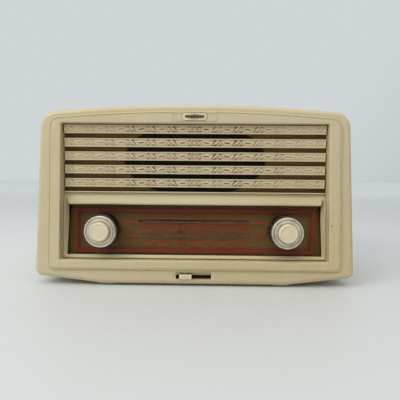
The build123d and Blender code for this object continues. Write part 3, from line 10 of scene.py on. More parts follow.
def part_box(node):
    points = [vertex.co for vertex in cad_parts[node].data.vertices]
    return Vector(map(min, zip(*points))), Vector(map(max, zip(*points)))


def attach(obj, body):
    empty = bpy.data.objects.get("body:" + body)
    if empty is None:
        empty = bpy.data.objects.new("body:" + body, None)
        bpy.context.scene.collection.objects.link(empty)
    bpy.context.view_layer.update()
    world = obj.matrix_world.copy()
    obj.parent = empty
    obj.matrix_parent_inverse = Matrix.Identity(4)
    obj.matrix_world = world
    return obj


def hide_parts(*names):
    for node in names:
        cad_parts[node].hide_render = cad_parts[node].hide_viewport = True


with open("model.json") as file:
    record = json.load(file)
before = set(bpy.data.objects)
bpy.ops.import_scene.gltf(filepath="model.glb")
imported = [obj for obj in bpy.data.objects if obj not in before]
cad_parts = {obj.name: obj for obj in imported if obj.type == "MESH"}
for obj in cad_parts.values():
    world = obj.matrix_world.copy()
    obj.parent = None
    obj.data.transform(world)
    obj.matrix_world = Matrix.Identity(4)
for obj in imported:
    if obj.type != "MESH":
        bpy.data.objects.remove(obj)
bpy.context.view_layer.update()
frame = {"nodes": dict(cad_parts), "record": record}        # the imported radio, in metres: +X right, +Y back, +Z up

MM = 0.001

# ---------------------------------------------------------------------------
# Driving values, in metres and degrees. Places come from the frame.
# ---------------------------------------------------------------------------
FACE_LEAN = radians(4.0)
DIAL_LEAN = radians(9.3)
GLASS_THICK = 2.5 * MM
CLOTH_THREAD = 1.6 * MM
SET = "radio_set"          # the body that everything fixed rides on

CAMERA_PLACE = (0.0118, -0.4397, 0.1293)
CAMERA_YAW = radians(-0.71)
CAMERA_DOWN = radians(3.78)
CAMERA_ROLL = radians(0.46)
CAMERA_LENS = 27.0          # mm, on a sensor 36 mm wide
CAMERA_SENSOR = 36.0
CAMERA_NEAR = 0.02


def tone(red, green, blue):
    """A linear colour from the 0 to 255 numbers of a display."""
    def linear(value):
        share = value / 255
        return share / 12.92 if share < 0.04045 else ((share + 0.055) / 1.055) ** 2.4
    return (linear(red), linear(green), linear(blue), 1.0)


# ---------------------------------------------------------------------------
# Materials
# ---------------------------------------------------------------------------
class Finish:
    """One material: a Principled shader fed by procedural nodes. Each method
    adds a node and returns its output."""

    def __init__(self, name, **constants):
        self.material = bpy.data.materials.new(name)
        self.material.use_nodes = True
        self.nodes = self.material.node_tree.nodes
        self.links = self.material.node_tree.links
        self.shader = self.nodes["Principled BSDF"]
        for socket, value in constants.items():
            self.shader.inputs[socket.replace("_", " ")].default_value = value
        self.place = self.nodes.new("ShaderNodeTexCoord").outputs["Object"]

    def feed(self, socket, value):
        """A socket takes another node's output, or a plain number or colour."""
        if isinstance(value, bpy.types.NodeSocket):
            self.links.new(value, socket)
        else:
            socket.default_value = value

    def stretched(self, x, y, z):
        node = self.nodes.new("ShaderNodeMapping")
        node.inputs["Scale"].default_value = (x, y, z)
        self.links.new(self.place, node.inputs["Vector"])
        return node.outputs["Vector"]

    def noise(self, scale, detail=3.0, at=None, warp=0.0):
        node = self.nodes.new("ShaderNodeTexNoise")
        node.inputs["Scale"].default_value = scale
        node.inputs["Detail"].default_value = detail
        node.inputs["Distortion"].default_value = warp
        self.links.new(at or self.place, node.inputs["Vector"])
        return node.outputs["Fac"]

    def cells(self, scale, at=None):
        """Distance from the nearest of many scattered points, in cell sizes."""
        node = self.nodes.new("ShaderNodeTexVoronoi")
        node.inputs["Scale"].default_value = scale
        self.links.new(at or self.place, node.inputs["Vector"])
        return node.outputs["Distance"]

    def bands(self, pitch, axis, warp=0.0):
        """Soft bands across one axis, from 0 to 1 and back every pitch."""
        node = self.nodes.new("ShaderNodeTexWave")
        node.bands_direction = axis
        node.inputs["Scale"].default_value = 2 * pi / (20 * pitch)
        node.inputs["Distortion"].default_value = warp
        self.links.new(self.place, node.inputs["Vector"])
        return node.outputs["Fac"]

    def along(self, axis):
        """The place along one axis of the frame, in metres."""
        node = self.nodes.new("ShaderNodeSeparateXYZ")
        self.links.new(self.place, node.inputs["Vector"])
        return node.outputs[axis]

    def calc(self, operation, first, second=0.0):
        """One step of arithmetic on sockets or plain numbers."""
        node = self.nodes.new("ShaderNodeMath")
        node.operation = operation
        self.feed(node.inputs[0], first)
        self.feed(node.inputs[1], second)
        return node.outputs["Value"]

    def distance(self, x, z):
        """How far a place is, across the front of the set, from x and z."""
        beside = self.calc("SUBTRACT", self.along("X"), x)
        above = self.calc("SUBTRACT", self.along("Z"), z)
        squares = self.calc("ADD", self.calc("MULTIPLY", beside, beside),
                            self.calc("MULTIPLY", above, above))
        return self.calc("SQRT", squares)

    def fade(self, value, low, high, start=0.0, end=1.0):
        """Start below low, end above high, and a smooth step between them."""
        node = self.nodes.new("ShaderNodeMapRange")
        node.interpolation_type = "SMOOTHSTEP"
        for socket, number in zip(node.inputs[1:5], (low, high, start, end)):
            socket.default_value = number
        self.feed(node.inputs["Value"], value)
        return node.outputs["Result"]

    def blend(self, share, first, second, kind="MIX"):
        """The first colour where share is 0 and the second where it is 1."""
        node = self.nodes.new("ShaderNodeMix")
        node.data_type = "RGBA"
        node.blend_type = kind
        self.feed(node.inputs[0], share)
        self.feed(node.inputs[6], first)
        self.feed(node.inputs[7], second)
        return node.outputs[2]

    def crevice(self, reach):
        """1 in the open and less in corners closer than reach."""
        node = self.nodes.new("ShaderNodeAmbientOcclusion")
        node.samples = 8
        node.inputs["Distance"].default_value = reach
        return node.outputs["AO"]

    def edge(self, radius):
        """0 on the flat and more along sharp edges."""
        rounded = self.nodes.new("ShaderNodeBevel")
        rounded.samples = 4
        rounded.inputs["Radius"].default_value = radius
        flat = self.nodes.new("ShaderNodeNewGeometry")
        facing = self.nodes.new("ShaderNodeVectorMath")
        facing.operation = "DOT_PRODUCT"
        self.links.new(rounded.outputs["Normal"], facing.inputs[0])
        self.links.new(flat.outputs["Normal"], facing.inputs[1])
        return self.calc("SUBTRACT", 1.0, facing.outputs["Value"])

    def stored(self, attribute):
        """A number stored on each of the mesh's points."""
        node = self.nodes.new("ShaderNodeAttribute")
        node.attribute_name = attribute
        return node.outputs["Fac"]

    def bump(self, height, depth, under=None):
        node = self.nodes.new("ShaderNodeBump")
        node.inputs["Distance"].default_value = depth
        self.links.new(height, node.inputs["Height"])
        if under is not None:
            self.links.new(under, node.inputs["Normal"])
        return node.outputs["Normal"]

    def done(self, colour, roughness, normal=None, metallic=None):
        self.feed(self.shader.inputs["Base Color"], colour)
        self.feed(self.shader.inputs["Roughness"], roughness)
        if normal is not None:
            self.feed(self.shader.inputs["Normal"], normal)
        if metallic is not None:
            self.feed(self.shader.inputs["Metallic"], metallic)
        return self.material


CREAM = tone(205, 190, 152)
CREAM_WARM = tone(202, 183, 139)
CREAM_PALE = tone(213, 198, 162)
# a dark tone for corners and crevices: grime and painted shade
GRIME_AND_SHADE = tone(104, 84, 46)
BAKELITE_BROWN = tone(72, 42, 22)
RUBBED_THIN = tone(150, 126, 84)
# a dark tone for the low ground of the louvre relief: grime and painted shade
RELIEF_DIRT_AND_SHADE = tone(84, 62, 30)
CORNER_REACH = 3 * MM        # grime and painted shade darken corners closer than this
EDGE_REACH = 0.9 * MM        # paint rubs thin this near to an edge
CHIP_DEEP = 0.15 * MM


def cream_paint(name, colour=CREAM, warm=CREAM_WARM, chips=0.0, relief=False, scar=None):
    """Cream enamel on a moulding: clouded by age, darkened in its corners by grime and painted shade, rubbed
    along its edges and, on the cabinet, chipped down to the brown bakelite. With relief, the low ground
    of a louvre's garland is darkened too, by grime and painted shade. A
    scar is one larger chip: its x, its z and its radius."""
    f = Finish(name, Coat_Weight=0.12, Coat_Roughness=0.25, IOR=1.5)
    cloud = f.noise(7.0, detail=2.0)
    mottle = f.noise(160.0, detail=4.0)
    paint = f.blend(f.fade(cloud, 0.36, 0.66), colour, warm)
    paint = f.blend(f.fade(mottle, 0.35, 0.75, 0.0, 0.35), paint, CREAM_PALE)
    # painted shade: an ambient-occlusion mask darkens corners and crevices, mixed by noise with grime
    dirt_and_shade = f.fade(f.crevice(CORNER_REACH), 0.2, 0.9, 0.42, 0.0)
    streak = f.fade(f.noise(60.0, detail=5.0), 0.35, 0.7, 0.6, 1.0)
    paint = f.blend(f.calc("MULTIPLY", dirt_and_shade, streak), paint, GRIME_AND_SHADE)
    rubbed = f.fade(f.edge(EDGE_REACH), 0.02, 0.25, 0.0, 0.35)
    rubbed = f.calc("MULTIPLY", rubbed, f.fade(f.noise(90.0, detail=4.0), 0.42, 0.62))
    paint = f.blend(rubbed, paint, RUBBED_THIN)
    # grime and painted shade: the stored relief mask darkens the garland's low ground, more towards the middle of
    # the bar
    if relief:
        toward_middle = f.fade(f.calc("ABSOLUTE", f.along("X")), 0.03, 0.15, 1.0, 0.38)
        uneven = f.fade(f.noise(38.0, detail=3.0), 0.3, 0.7, 0.6, 1.0)
        darkening = f.calc("MULTIPLY", f.stored("relief"), f.calc("MULTIPLY", toward_middle, uneven))
        paint = f.blend(darkening, paint, RELIEF_DIRT_AND_SHADE)
    roughness = f.fade(f.noise(45.0, detail=4.0), 0.3, 0.7, 0.34, 0.5)
    height = f.bump(f.noise(420.0, detail=2.0), 0.05 * MM)
    if chips > 0:
        speck = f.calc("ADD", f.cells(34.0), f.calc("MULTIPLY", f.noise(700.0), 0.05))
        rare = f.fade(f.noise(13.0, detail=1.0), 0.60, 0.64, 0.0, 0.065)
        chip = f.fade(f.calc("SUBTRACT", rare, speck), -0.012, 0.0, 0.0, chips)
        if scar:
            scar_x, scar_z, scar_r = scar
            away = f.distance(scar_x, scar_z)
            ragged = f.calc("ADD", away, f.calc("MULTIPLY", f.noise(900.0), 0.8 * MM))
            torn = f.fade(ragged, scar_r, scar_r + 0.3 * MM, chips, 0.0)
            chip = f.calc("MAXIMUM", chip, torn)
        paint = f.blend(chip, paint, BAKELITE_BROWN)
        height = f.bump(f.calc("SUBTRACT", 1.0, chip), CHIP_DEEP, under=height)
    return f.done(paint, roughness, height)


def speaker_weave(name, oval_half_x, oval_half_z, centre_z):
    """Open brown cloth. Over the loudspeaker's oval, where nothing backs it, the
    shade of the empty space behind is painted into its colour, almost black."""
    f = Finish(name, Sheen_Weight=0.15, Sheen_Roughness=0.5, IOR=1.4)
    across = f.bands(CLOTH_THREAD, "X", warp=0.4)
    upwards = f.bands(CLOTH_THREAD, "Z", warp=0.4)
    thread = f.calc("MULTIPLY", across, upwards)
    slub = f.noise(1.0, detail=3.0, at=f.stretched(40.0, 1.0, 900.0))
    cloth = f.blend(f.fade(thread, 0.1, 0.9), tone(108, 84, 44), tone(154, 124, 68))
    cloth = f.blend(f.fade(slub, 0.4, 0.7, 0.0, 0.5), cloth, tone(168, 138, 84))
    beside = f.calc("DIVIDE", f.along("X"), oval_half_x)
    above = f.calc("DIVIDE", f.calc("SUBTRACT", f.along("Z"), centre_z), oval_half_z)
    reach = f.calc("ADD", f.calc("POWER", f.calc("ABSOLUTE", beside), 2.0),
                  f.calc("POWER", f.calc("ABSOLUTE", above), 2.0))
    # painted shade: inside the oval the cloth goes almost black, the shade of the space behind it
    unbacked_shade = f.fade(reach, 0.93, 1.04, 1.0, 0.0)
    cloth = f.blend(unbacked_shade, cloth, f.blend(thread, tone(26, 17, 10), tone(44, 31, 18)))
    return f.done(cloth, f.fade(thread, 0.0, 1.0, 0.95, 0.8), f.bump(thread, 0.25 * MM))


def dial_ground(name):
    """Brown paint behind the dial glass, redder in its middle than at its ends."""
    f = Finish(name, IOR=1.45)
    middle = f.fade(f.calc("ABSOLUTE", f.along("X")), 0.045, 0.11, 1.0, 0.0)
    haze = f.noise(22.0, detail=3.0, at=f.stretched(1.0, 1.0, 2.2))
    ground = f.blend(f.calc("MULTIPLY", middle, 0.6), tone(124, 94, 40), tone(124, 80, 28))
    ground = f.blend(f.fade(haze, 0.35, 0.7, 0.0, 0.4), ground, tone(126, 82, 30))
    ground = f.blend(f.fade(f.noise(300.0), 0.4, 0.7, 0.0, 0.25), ground, tone(96, 72, 30))
    return f.done(ground, f.fade(haze, 0.3, 0.7, 0.42, 0.58), f.bump(f.noise(500.0), 0.03 * MM))


def printed(name, colour, faded):
    """Screen-printed enamel on the back of the glass, worn thin in places."""
    f = Finish(name, IOR=1.45)
    worn = f.fade(f.noise(150.0, detail=4.0), 0.4, 0.7)
    return f.done(f.blend(worn, colour, faded), f.fade(worn, 0.0, 1.0, 0.45, 0.6),
                  f.bump(worn, 0.02 * MM))


def clear_glass(name):
    """Clear window glass with faint dust and fingermarks."""
    f = Finish(name, Alpha=0.07, IOR=1.45)
    haze = f.noise(35.0, detail=5.0)
    return f.done(f.blend(f.fade(haze, 0.4, 0.7), tone(20, 13, 6), tone(58, 44, 28)),
                  f.fade(haze, 0.45, 0.75, 0.04, 0.12))


def metal(name, colour, shade, roughness, grain=None, marks=0.02 * MM, rust=0.0):
    """Bare metal, with a grain that runs the way it was rolled or turned."""
    f = Finish(name)
    grain = grain or (1.0, 1.0, 1.0)
    lines = f.noise(700.0, detail=2.0, at=f.stretched(*grain))
    cloud = f.noise(40.0, detail=4.0)
    bare = f.blend(f.fade(cloud, 0.35, 0.7), colour, shade)
    bare = f.blend(f.fade(lines, 0.35, 0.7, 0.0, 0.3), bare, shade)
    rough = f.fade(lines, 0.3, 0.7, roughness - 0.07, roughness + 0.1)
    shine = 1.0
    if rust > 0:
        darkening = f.fade(f.noise(55.0, detail=6.0), 0.58, 0.7, 0.0, rust)
        bare = f.blend(darkening, bare, tone(106, 66, 38))
        shine = f.calc("SUBTRACT", 1.0, darkening)
    return f.done(bare, rough, f.bump(lines, marks), shine)


def spun_metal(name, colour, shade, centres):
    """Lacquered turned metal: fine rings round the middle of the knob it is on."""
    f = Finish(name, Anisotropic=0.5)
    nearest = None
    for centre in centres:
        radius = f.distance(centre.x, centre.z)
        nearest = radius if nearest is None else f.calc("MINIMUM", nearest, radius)
    turning_pitch = 0.35 * MM
    rings = f.calc("SINE", f.calc("MULTIPLY", nearest, 2 * pi / turning_pitch))
    tarnish = f.noise(120.0, detail=4.0)
    bare = f.blend(f.fade(tarnish, 0.4, 0.72), colour, shade)
    return f.done(bare, f.fade(tarnish, 0.3, 0.7, 0.34, 0.48), f.bump(rings, 0.008 * MM), 0.55)


def moulded(name, colour, shade, roughness, speckle=0.25, coat=0.0):
    """Plastic, rubber or ferrite: two close tones, fine pits and dull patches."""
    f = Finish(name, IOR=1.5, Coat_Weight=coat, Coat_Roughness=0.08)
    cloud = f.noise(35.0, detail=3.0)
    pits = f.noise(800.0, detail=2.0)
    body = f.blend(f.fade(cloud, 0.35, 0.7), colour, shade)
    body = f.blend(f.fade(pits, 0.5, 0.75, 0.0, speckle), body, shade)
    dust = f.fade(f.crevice(3 * MM), 0.3, 0.9, 0.3, 0.0)
    body = f.blend(dust, body, tone(120, 108, 86))
    return f.done(body, f.fade(cloud, 0.3, 0.7, roughness, roughness + 0.12),
                  f.bump(pits, 0.03 * MM))


def layered(name, colour, shade, pitch, axis, roughness, depth):
    """Windings and laminations: fine lines side by side along one axis."""
    f = Finish(name, Coat_Weight=0.2, Coat_Roughness=0.3)
    lines = f.bands(pitch, axis, warp=0.15)
    cloud = f.noise(60.0, detail=4.0)
    body = f.blend(f.fade(lines, 0.1, 0.6), shade, colour)
    body = f.blend(f.fade(cloud, 0.4, 0.75, 0.0, 0.4), body, shade)
    return f.done(body, f.fade(cloud, 0.3, 0.7, roughness, roughness + 0.15),
                  f.bump(lines, depth))


def hardboard(name):
    """Pressed brown board: matted fibres, darker blotches and scuffs."""
    f = Finish(name, IOR=1.4)
    fibre = f.noise(1.0, detail=6.0, at=f.stretched(260.0, 260.0, 900.0), warp=1.2)
    blotch = f.noise(18.0, detail=4.0)
    board = f.blend(f.fade(fibre, 0.3, 0.7), tone(96, 66, 42), tone(134, 98, 64))
    board = f.blend(f.fade(blotch, 0.4, 0.7, 0.0, 0.5), board, tone(88, 60, 38))
    scuff = f.fade(f.noise(1.0, detail=3.0, at=f.stretched(14.0, 14.0, 420.0)), 0.66, 0.74, 0.0, 0.4)
    board = f.blend(scuff, board, tone(168, 136, 98))
    return f.done(board, f.fade(fibre, 0.2, 0.8, 0.62, 0.85), f.bump(fibre, 0.12 * MM))


def felted(name):
    f = Finish(name, Sheen_Weight=0.4, Sheen_Roughness=0.6)
    fuzz = f.noise(1500.0, detail=4.0, warp=0.8)
    wool = f.blend(f.fade(fuzz, 0.3, 0.7), tone(58, 66, 56), tone(94, 102, 88))
    return f.done(wool, f.fade(fuzz, 0.3, 0.7, 0.85, 1.0), f.bump(fuzz, 0.2 * MM))


def braided(name):
    """Waxed cord: two sets of fine strands wound opposite ways."""
    f = Finish(name, Sheen_Weight=0.2)
    strands = f.calc("MULTIPLY", f.bands(0.5 * MM, "DIAGONAL"), f.bands(0.7 * MM, "X", warp=1.0))
    cord = f.blend(f.fade(strands, 0.1, 0.7), tone(140, 124, 94), tone(206, 192, 158))
    return f.done(cord, f.fade(strands, 0.0, 1.0, 0.8, 0.6), f.bump(strands, 0.06 * MM))


def cone_pulp(name):
    f = Finish(name)
    pulp = f.noise(240.0, detail=6.0, warp=0.6)
    paper = f.blend(f.fade(pulp, 0.35, 0.7), tone(40, 36, 32), tone(66, 60, 52))
    return f.done(paper, f.fade(pulp, 0.3, 0.7, 0.8, 0.95), f.bump(pulp, 0.15 * MM))


def silvered_glass(name, seat_z, top_z):
    """A valve: grey plates seen through the bulb, under a silvered top."""
    f = Finish(name, Coat_Weight=1.0, Coat_Roughness=0.03, IOR=1.5)
    plates = f.fade(f.bands(2.6 * MM, "Z"), 0.3, 0.7, 0.0, 1.0)
    inside = f.blend(plates, tone(58, 60, 62), tone(112, 114, 114))
    smoke = f.noise(70.0, detail=4.0)
    inside = f.blend(f.fade(smoke, 0.4, 0.7, 0.0, 0.5), inside, tone(36, 38, 42))
    silver_from, silver_to = top_z - 20 * MM, top_z - 13 * MM
    foot_to, bulb_from = seat_z + 3 * MM, seat_z + 5 * MM
    getter = f.fade(f.along("Z"), silver_from, silver_to)
    foot = f.fade(f.along("Z"), foot_to, bulb_from, 1.0, 0.0)
    bulb = f.blend(getter, inside, tone(186, 188, 190))
    bulb = f.blend(foot, bulb, tone(38, 34, 32))
    return f.done(bulb, f.fade(smoke, 0.3, 0.7, 0.16, 0.3), None, getter)


SCAR = (165.5 * MM, 75.5 * MM, 1.1 * MM)      # worn through the paint beside the dial
CONE_FLANGE = 5 * MM                          # of the loudspeaker frame, outside its oval


def all_finishes():
    """A material for each slot that the record names."""
    frame_low, frame_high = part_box("speaker_frame")
    knobs = [middle(f"{stem}_knob_ring") for stem in ("volume", "tuning")]
    valve_low, valve_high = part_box("valves")
    return {
        "bakelite": cream_paint("cream_bakelite", chips=0.85, scar=SCAR),
        "louvre": cream_paint("cream_louvre", tone(206, 189, 150), relief=True),
        "bezel": cream_paint("cream_bezel", tone(205, 190, 150)),
        "dial_glass": clear_glass("window_glass"),
        "dial_metal": dial_ground("dial_brown"),
        "cloth": speaker_weave("speaker_weave", frame_high.x - CONE_FLANGE,
                               (frame_high.z - frame_low.z) / 2 - CONE_FLANGE,
                               (frame_high.z + frame_low.z) / 2),
        "board": hardboard("hardboard"),
        "badge": metal("badge_plated", tone(240, 226, 190), tone(222, 204, 162), 0.5,
                       grain=(0.05, 1.0, 1.0)),
        "knob_black": moulded("knob_black", tone(15, 14, 13), tone(26, 24, 22), 0.16, coat=0.6),
        "knob_ring": spun_metal("spun_aluminium", tone(222, 214, 196), tone(196, 184, 162), knobs),
        "knob_cap": cream_paint("cream_cap", tone(230, 218, 184), warm=tone(228, 214, 178)),
        "steel": metal("zinc_plate", tone(168, 168, 164), tone(128, 130, 130), 0.42, rust=0.5),
        # painted light: a paler steel, so the plate reads lit in the shade of its slot
        "slot_plate": metal("lightened_aged_plate", tone(222, 208, 180), tone(186, 168, 138), 0.45, rust=0.3),
        "aluminium": metal("dull_aluminium", tone(190, 191, 190), tone(156, 158, 158), 0.36,
                           grain=(0.1, 1.0, 1.0)),
        "iron": layered("iron_laminations", tone(70, 70, 72), tone(34, 33, 34), 0.7 * MM, "Y",
                        0.45, 0.15 * MM),
        "winding": layered("varnished_winding", tone(168, 112, 58), tone(112, 66, 30), 0.6 * MM,
                           "Z", 0.4, 0.1 * MM),
        "cone_paper": cone_pulp("cone_pulp"),
        "valve_glass": silvered_glass("silvered_glass", valve_low.z, valve_high.z),
        "black_plastic": moulded("black_phenolic", tone(36, 33, 30), tone(54, 49, 44), 0.4),
        "brass": metal("brass", tone(198, 164, 98), tone(140, 108, 58), 0.3),
        "paxolin": moulded("paxolin", tone(122, 74, 42), tone(86, 48, 26), 0.35, coat=0.2),
        "rubber": moulded("rubber", tone(34, 33, 32), tone(50, 48, 46), 0.7),
        "felt": felted("felt"),
        "cord": braided("waxed_cord"),
        "ferrite": moulded("ferrite", tone(58, 58, 62), tone(38, 38, 42), 0.5, speckle=0.6),
        "pointer": moulded("pointer_black", tone(34, 18, 10), tone(48, 28, 16), 0.6),
    }


def middle(node):
    low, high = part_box(node)
    return (low + high) / 2


# ---------------------------------------------------------------------------
# Mesh tools
# ---------------------------------------------------------------------------
class Solids:
    """Collects closed bodies that become one piece."""

    def __init__(self):
        self.points = []
        self.faces = []

    def prism(self, front, back):
        """A closed body between two outlines with the same number of points."""
        start, count = len(self.points), len(front)
        self.points += [tuple(p) for p in front] + [tuple(p) for p in back]
        self.faces.append(tuple(range(start, start + count)))
        self.faces.append(tuple(range(start + 2 * count - 1, start + count - 1, -1)))
        for i in range(count):
            j = (i + 1) % count
            self.faces.append((start + j, start + i, start + count + i, start + count + j))

    def mesh(self, points, faces):
        start = len(self.points)
        self.points += [tuple(p) for p in points]
        self.faces += [tuple(start + i for i in face) for face in faces]


def piece(name, solids, material, body, stands_for=(), crisp=35.0, values=None):
    """Turns collected bodies into one object that rides on a CAD body."""
    mesh = bpy.data.meshes.new(name)
    mesh.from_pydata(solids.points, [], solids.faces)
    work = bmesh.new()
    work.from_mesh(mesh)
    bmesh.ops.recalc_face_normals(work, faces=work.faces)
    work.to_mesh(mesh)
    work.free()
    if values is not None:
        stored = mesh.attributes.new("relief", "FLOAT", "POINT")
        stored.data.foreach_set("value", np.asarray(values, np.float32))
    mesh.shade_smooth()
    mesh.set_sharp_from_angle(angle=radians(crisp))
    mesh.materials.append(material)
    made = bpy.data.objects.new(name, mesh)
    bpy.context.scene.collection.objects.link(made)
    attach(made, body)
    if stands_for:
        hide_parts(*stands_for)
    return made


def turned(solids, centre, profile, segments=128):
    """A body turned about a front-to-back axis through centre. The profile is
    (radius, y) points; it closes on the axis if its ends are there, else on itself."""
    rings = []
    points = []
    for radius, y in profile:
        if radius < 1e-7:
            rings.append([len(points)] * segments)
            points.append((centre.x, y, centre.z))
            continue
        rings.append([len(points) + i for i in range(segments)])
        for i in range(segments):
            turn = 2 * pi * i / segments
            points.append((centre.x + radius * cos(turn), y, centre.z + radius * sin(turn)))
    open_ended = profile[0][0] < 1e-7
    faces = []
    for first, second in zip(rings, rings[1:] + ([] if open_ended else rings[:1])):
        for i in range(segments):
            j = (i + 1) % segments
            corners = (first[i], first[j], second[j], second[i])
            faces.append(tuple(dict.fromkeys(corners)))
    solids.mesh(points, faces)


def arc(centre_r, centre_y, radius, start, end, steps=6):
    """Profile points round an arc, by degrees from the direction of +radius."""
    turns = [radians(start + (end - start) * i / steps) for i in range(steps + 1)]
    return [(centre_r + radius * cos(t), centre_y + radius * sin(t)) for t in turns]


# ---------------------------------------------------------------------------
# Louvres: the same bars with their moulded garland
# ---------------------------------------------------------------------------
COLUMN = 0.7 * MM
RIM = 1.2 * MM
BEVEL = 0.6 * MM
RECESS = 0.6 * MM
END_RIM = 1.2 * MM
END_SLOPE = 0.8 * MM
BAR_THICK = 5 * MM
STUD_PLACES = (-0.130, 0.0, 0.130)
STUD_R = 2.5 * MM
STUD_SUNK = 0.2 * MM       # into the back of the bar
FLOOR_ROWS = 17
LEAF_PITCH = 25.4 * MM
FIRST_TIE = 6.0 * MM       # from the middle of the bar to the first tie
RELIEF_HIGH = 0.55 * MM

# pointed ovals of one repeat, in millimetres and degrees, counted from its first
# tie: (along, across) for the middle, half length, half height and angle
LEAF = (8.8, 0.0, 7.4, 3.3, -5.0)
LEAF_HOLLOW = (8.8, 0.0, 8.8, 4.3, -5.0)
VEIN = (8.4, 0.0, 4.8, 0.9, -7.0)
LEAFLETS = (
    (15.6, 0.9, 3.4, 1.0, 56.0),
    (18.6, -0.6, 3.4, 1.0, 52.0),
    (21.4, 0.9, 3.4, 1.0, 56.0),
)
LEAFLETS_MIDDLE = 18.5
TIE_LONG, TIE_HIGH, TIE_TURN = 3.8, 0.8, 52.0
ROSETTE_FROM = 2.5         # the rosette starts this far inside the first tie
ROSETTE_R = 2.6


def lens(s, v, centre_s, centre_v, half_length, half_height, angle):
    """1 in the middle of a pointed oval and 0 on its outline, in millimetres."""
    turn = radians(angle)
    along = (s - centre_s) * cos(turn) + (v - centre_v) * sin(turn)
    across = -(s - centre_s) * sin(turn) + (v - centre_v) * cos(turn)
    width = half_height * (1 - np.clip(np.abs(along) / half_length, 0, 1) ** 2)
    share = np.abs(across) / np.maximum(width, 1e-6)
    return np.sqrt(np.clip(1 - share ** 2, 0, 1)) * (np.abs(along) < half_length)


def garland(x, v):
    """Height of the moulded leaves above the recess floor, and how much grime and
    painted shade lies on them, both from 0 to 1: the low ground near the raised parts is darkened. Seen outwards
    from the middle, each repeat is a tie, a leaf and three leaflets."""
    out = np.abs(x) / MM - FIRST_TIE / MM
    pitch = LEAF_PITCH / MM
    s = np.mod(out, pitch)
    v = v / MM
    leaf = lens(s, v, *LEAF)
    vein = lens(s, v, *VEIN)
    hollow = lens(s, v, *LEAF_HOLLOW)
    height = 0.95 * leaf ** 0.7 - 0.7 * vein
    leaflets = np.zeros_like(height)
    for leaflet in LEAFLETS:
        leaflets = np.maximum(leaflets, lens(s, v, *leaflet))
    ties = np.zeros_like(height)
    for turn in (TIE_TURN, -TIE_TURN):
        for at in (0.0, pitch):
            ties = np.maximum(ties, lens(s, v, at, 0.0, TIE_LONG, TIE_HIGH, turn))
    height = np.maximum(height, np.maximum(0.85 * leaflets, 0.9 * ties))
    height = np.clip(height, 0, 1)
    low_ground = np.clip(1 - 2.2 * height, 0, 1)
    near_tie = np.clip(1.5 - np.minimum(s, pitch - s) / 2.4, 0, 1)
    near_leaflet = np.clip(1.6 - np.abs(s - LEAFLETS_MIDDLE) / 3.0, 0, 1)
    dirt_and_shade = low_ground * np.maximum(np.maximum(near_tie, near_leaflet), 0.6 * (hollow > 0))
    dirt_and_shade = np.maximum(dirt_and_shade, vein > 0.15)
    rosette = np.clip(1 - np.hypot(x / MM, v) / ROSETTE_R, 0, 1) ** 0.5
    inside = out < -ROSETTE_FROM
    dirt_and_shade = np.where(inside, 0.7 * (1 - rosette) * (np.abs(v) < 3.6), dirt_and_shade)
    dirt_and_shade = dirt_and_shade * np.clip((4.4 - np.abs(v)) / 0.6, 0, 1)
    return np.where(inside, 0.8 * rosette, height), dirt_and_shade


def bar_section(depth, half):
    """(y behind the front, height, share of the floor) points round the bar."""
    front = [
        (0.6 * MM, -half, 1), (0.25 * MM, -half + 0.12 * MM, 1), (0.05 * MM, -half + 0.32 * MM, 1),
        (0.0, -half + 0.6 * MM, 1), (0.0, -half + RIM, 1),
    ]
    edge = half - RIM - BEVEL
    floor = [
        (RECESS, -edge + 2 * edge * i / (FLOOR_ROWS - 1), 0) for i in range(FLOOR_ROWS)
    ]
    back = [(depth, half - 0.8 * MM, 1), (depth, -half + 0.8 * MM, 1)]
    mirrored = [(y, -z, s) for y, z, s in reversed(front)]
    return front + floor + mirrored + back


def louvre(number, material):
    node = f"louvre_bar_{number}"
    low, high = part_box(node)
    middle_z = (low.z + high.z) / 2
    section = np.array(bar_section(BAR_THICK, (high.z - low.z) / 2))
    columns = int(round((high.x - low.x) / COLUMN)) + 1
    x = np.linspace(low.x, high.x, columns)[:, None]
    y = np.repeat(section[None, :, 0], columns, axis=0)
    z = np.repeat(section[None, :, 1], columns, axis=0)
    on_floor = (section[:, 2] == 0)[None, :]
    relief, dirt_and_shade = garland(x + 0 * z, z)
    raised = np.where(on_floor, relief, 1.0)
    near_end = np.clip((np.minimum(x - low.x, high.x - x) - END_RIM) / END_SLOPE, 0, 1)
    raised = np.where(on_floor, raised * near_end, raised)
    end_rim = np.where(on_floor, 1 - near_end, 0.0)
    y = np.where(on_floor, y - np.maximum(raised * RELIEF_HIGH, end_rim * RECESS), y)
    dirt_and_shade = np.where(on_floor, dirt_and_shade * near_end, 0.0)
    grid = np.stack([x + 0 * z, low.y + y, middle_z + z], axis=-1)
    around = len(section)
    faces = []
    for column in range(columns - 1):
        start = column * around
        for row in range(around):
            after = (row + 1) % around
            faces.append((start + row, start + after, start + around + after, start + around + row))
    faces.append(tuple(range(around)))
    faces.append(tuple(range(columns * around - 1, (columns - 1) * around - 1, -1)))
    solids = Solids()
    solids.mesh(grid.reshape(-1, 3).tolist(), faces)
    stud_y = low.y + BAR_THICK - STUD_SUNK
    stud = [(0, stud_y), (STUD_R, stud_y), (STUD_R, high.y), (0, high.y)]
    for stud_x in STUD_PLACES:
        turned(solids, Vector((stud_x, 0, middle_z)), stud, segments=24)
    # the stored relief value marks where the paint is darkened by grime and painted shade
    values = np.zeros(len(solids.points))
    values[:columns * around] = dirt_and_shade.reshape(-1)
    return piece(f"louvre_garland_{number}", solids, material, SET, [node],
                 crisp=60.0, values=values)


# ---------------------------------------------------------------------------
# Loudspeaker cloth
# ---------------------------------------------------------------------------
WEAVE_MIDDLE = 0.22 * MM     # depth of the middle of the weave behind the front of its box
THREAD_RISE = 0.10 * MM
SLACK = 0.10 * MM


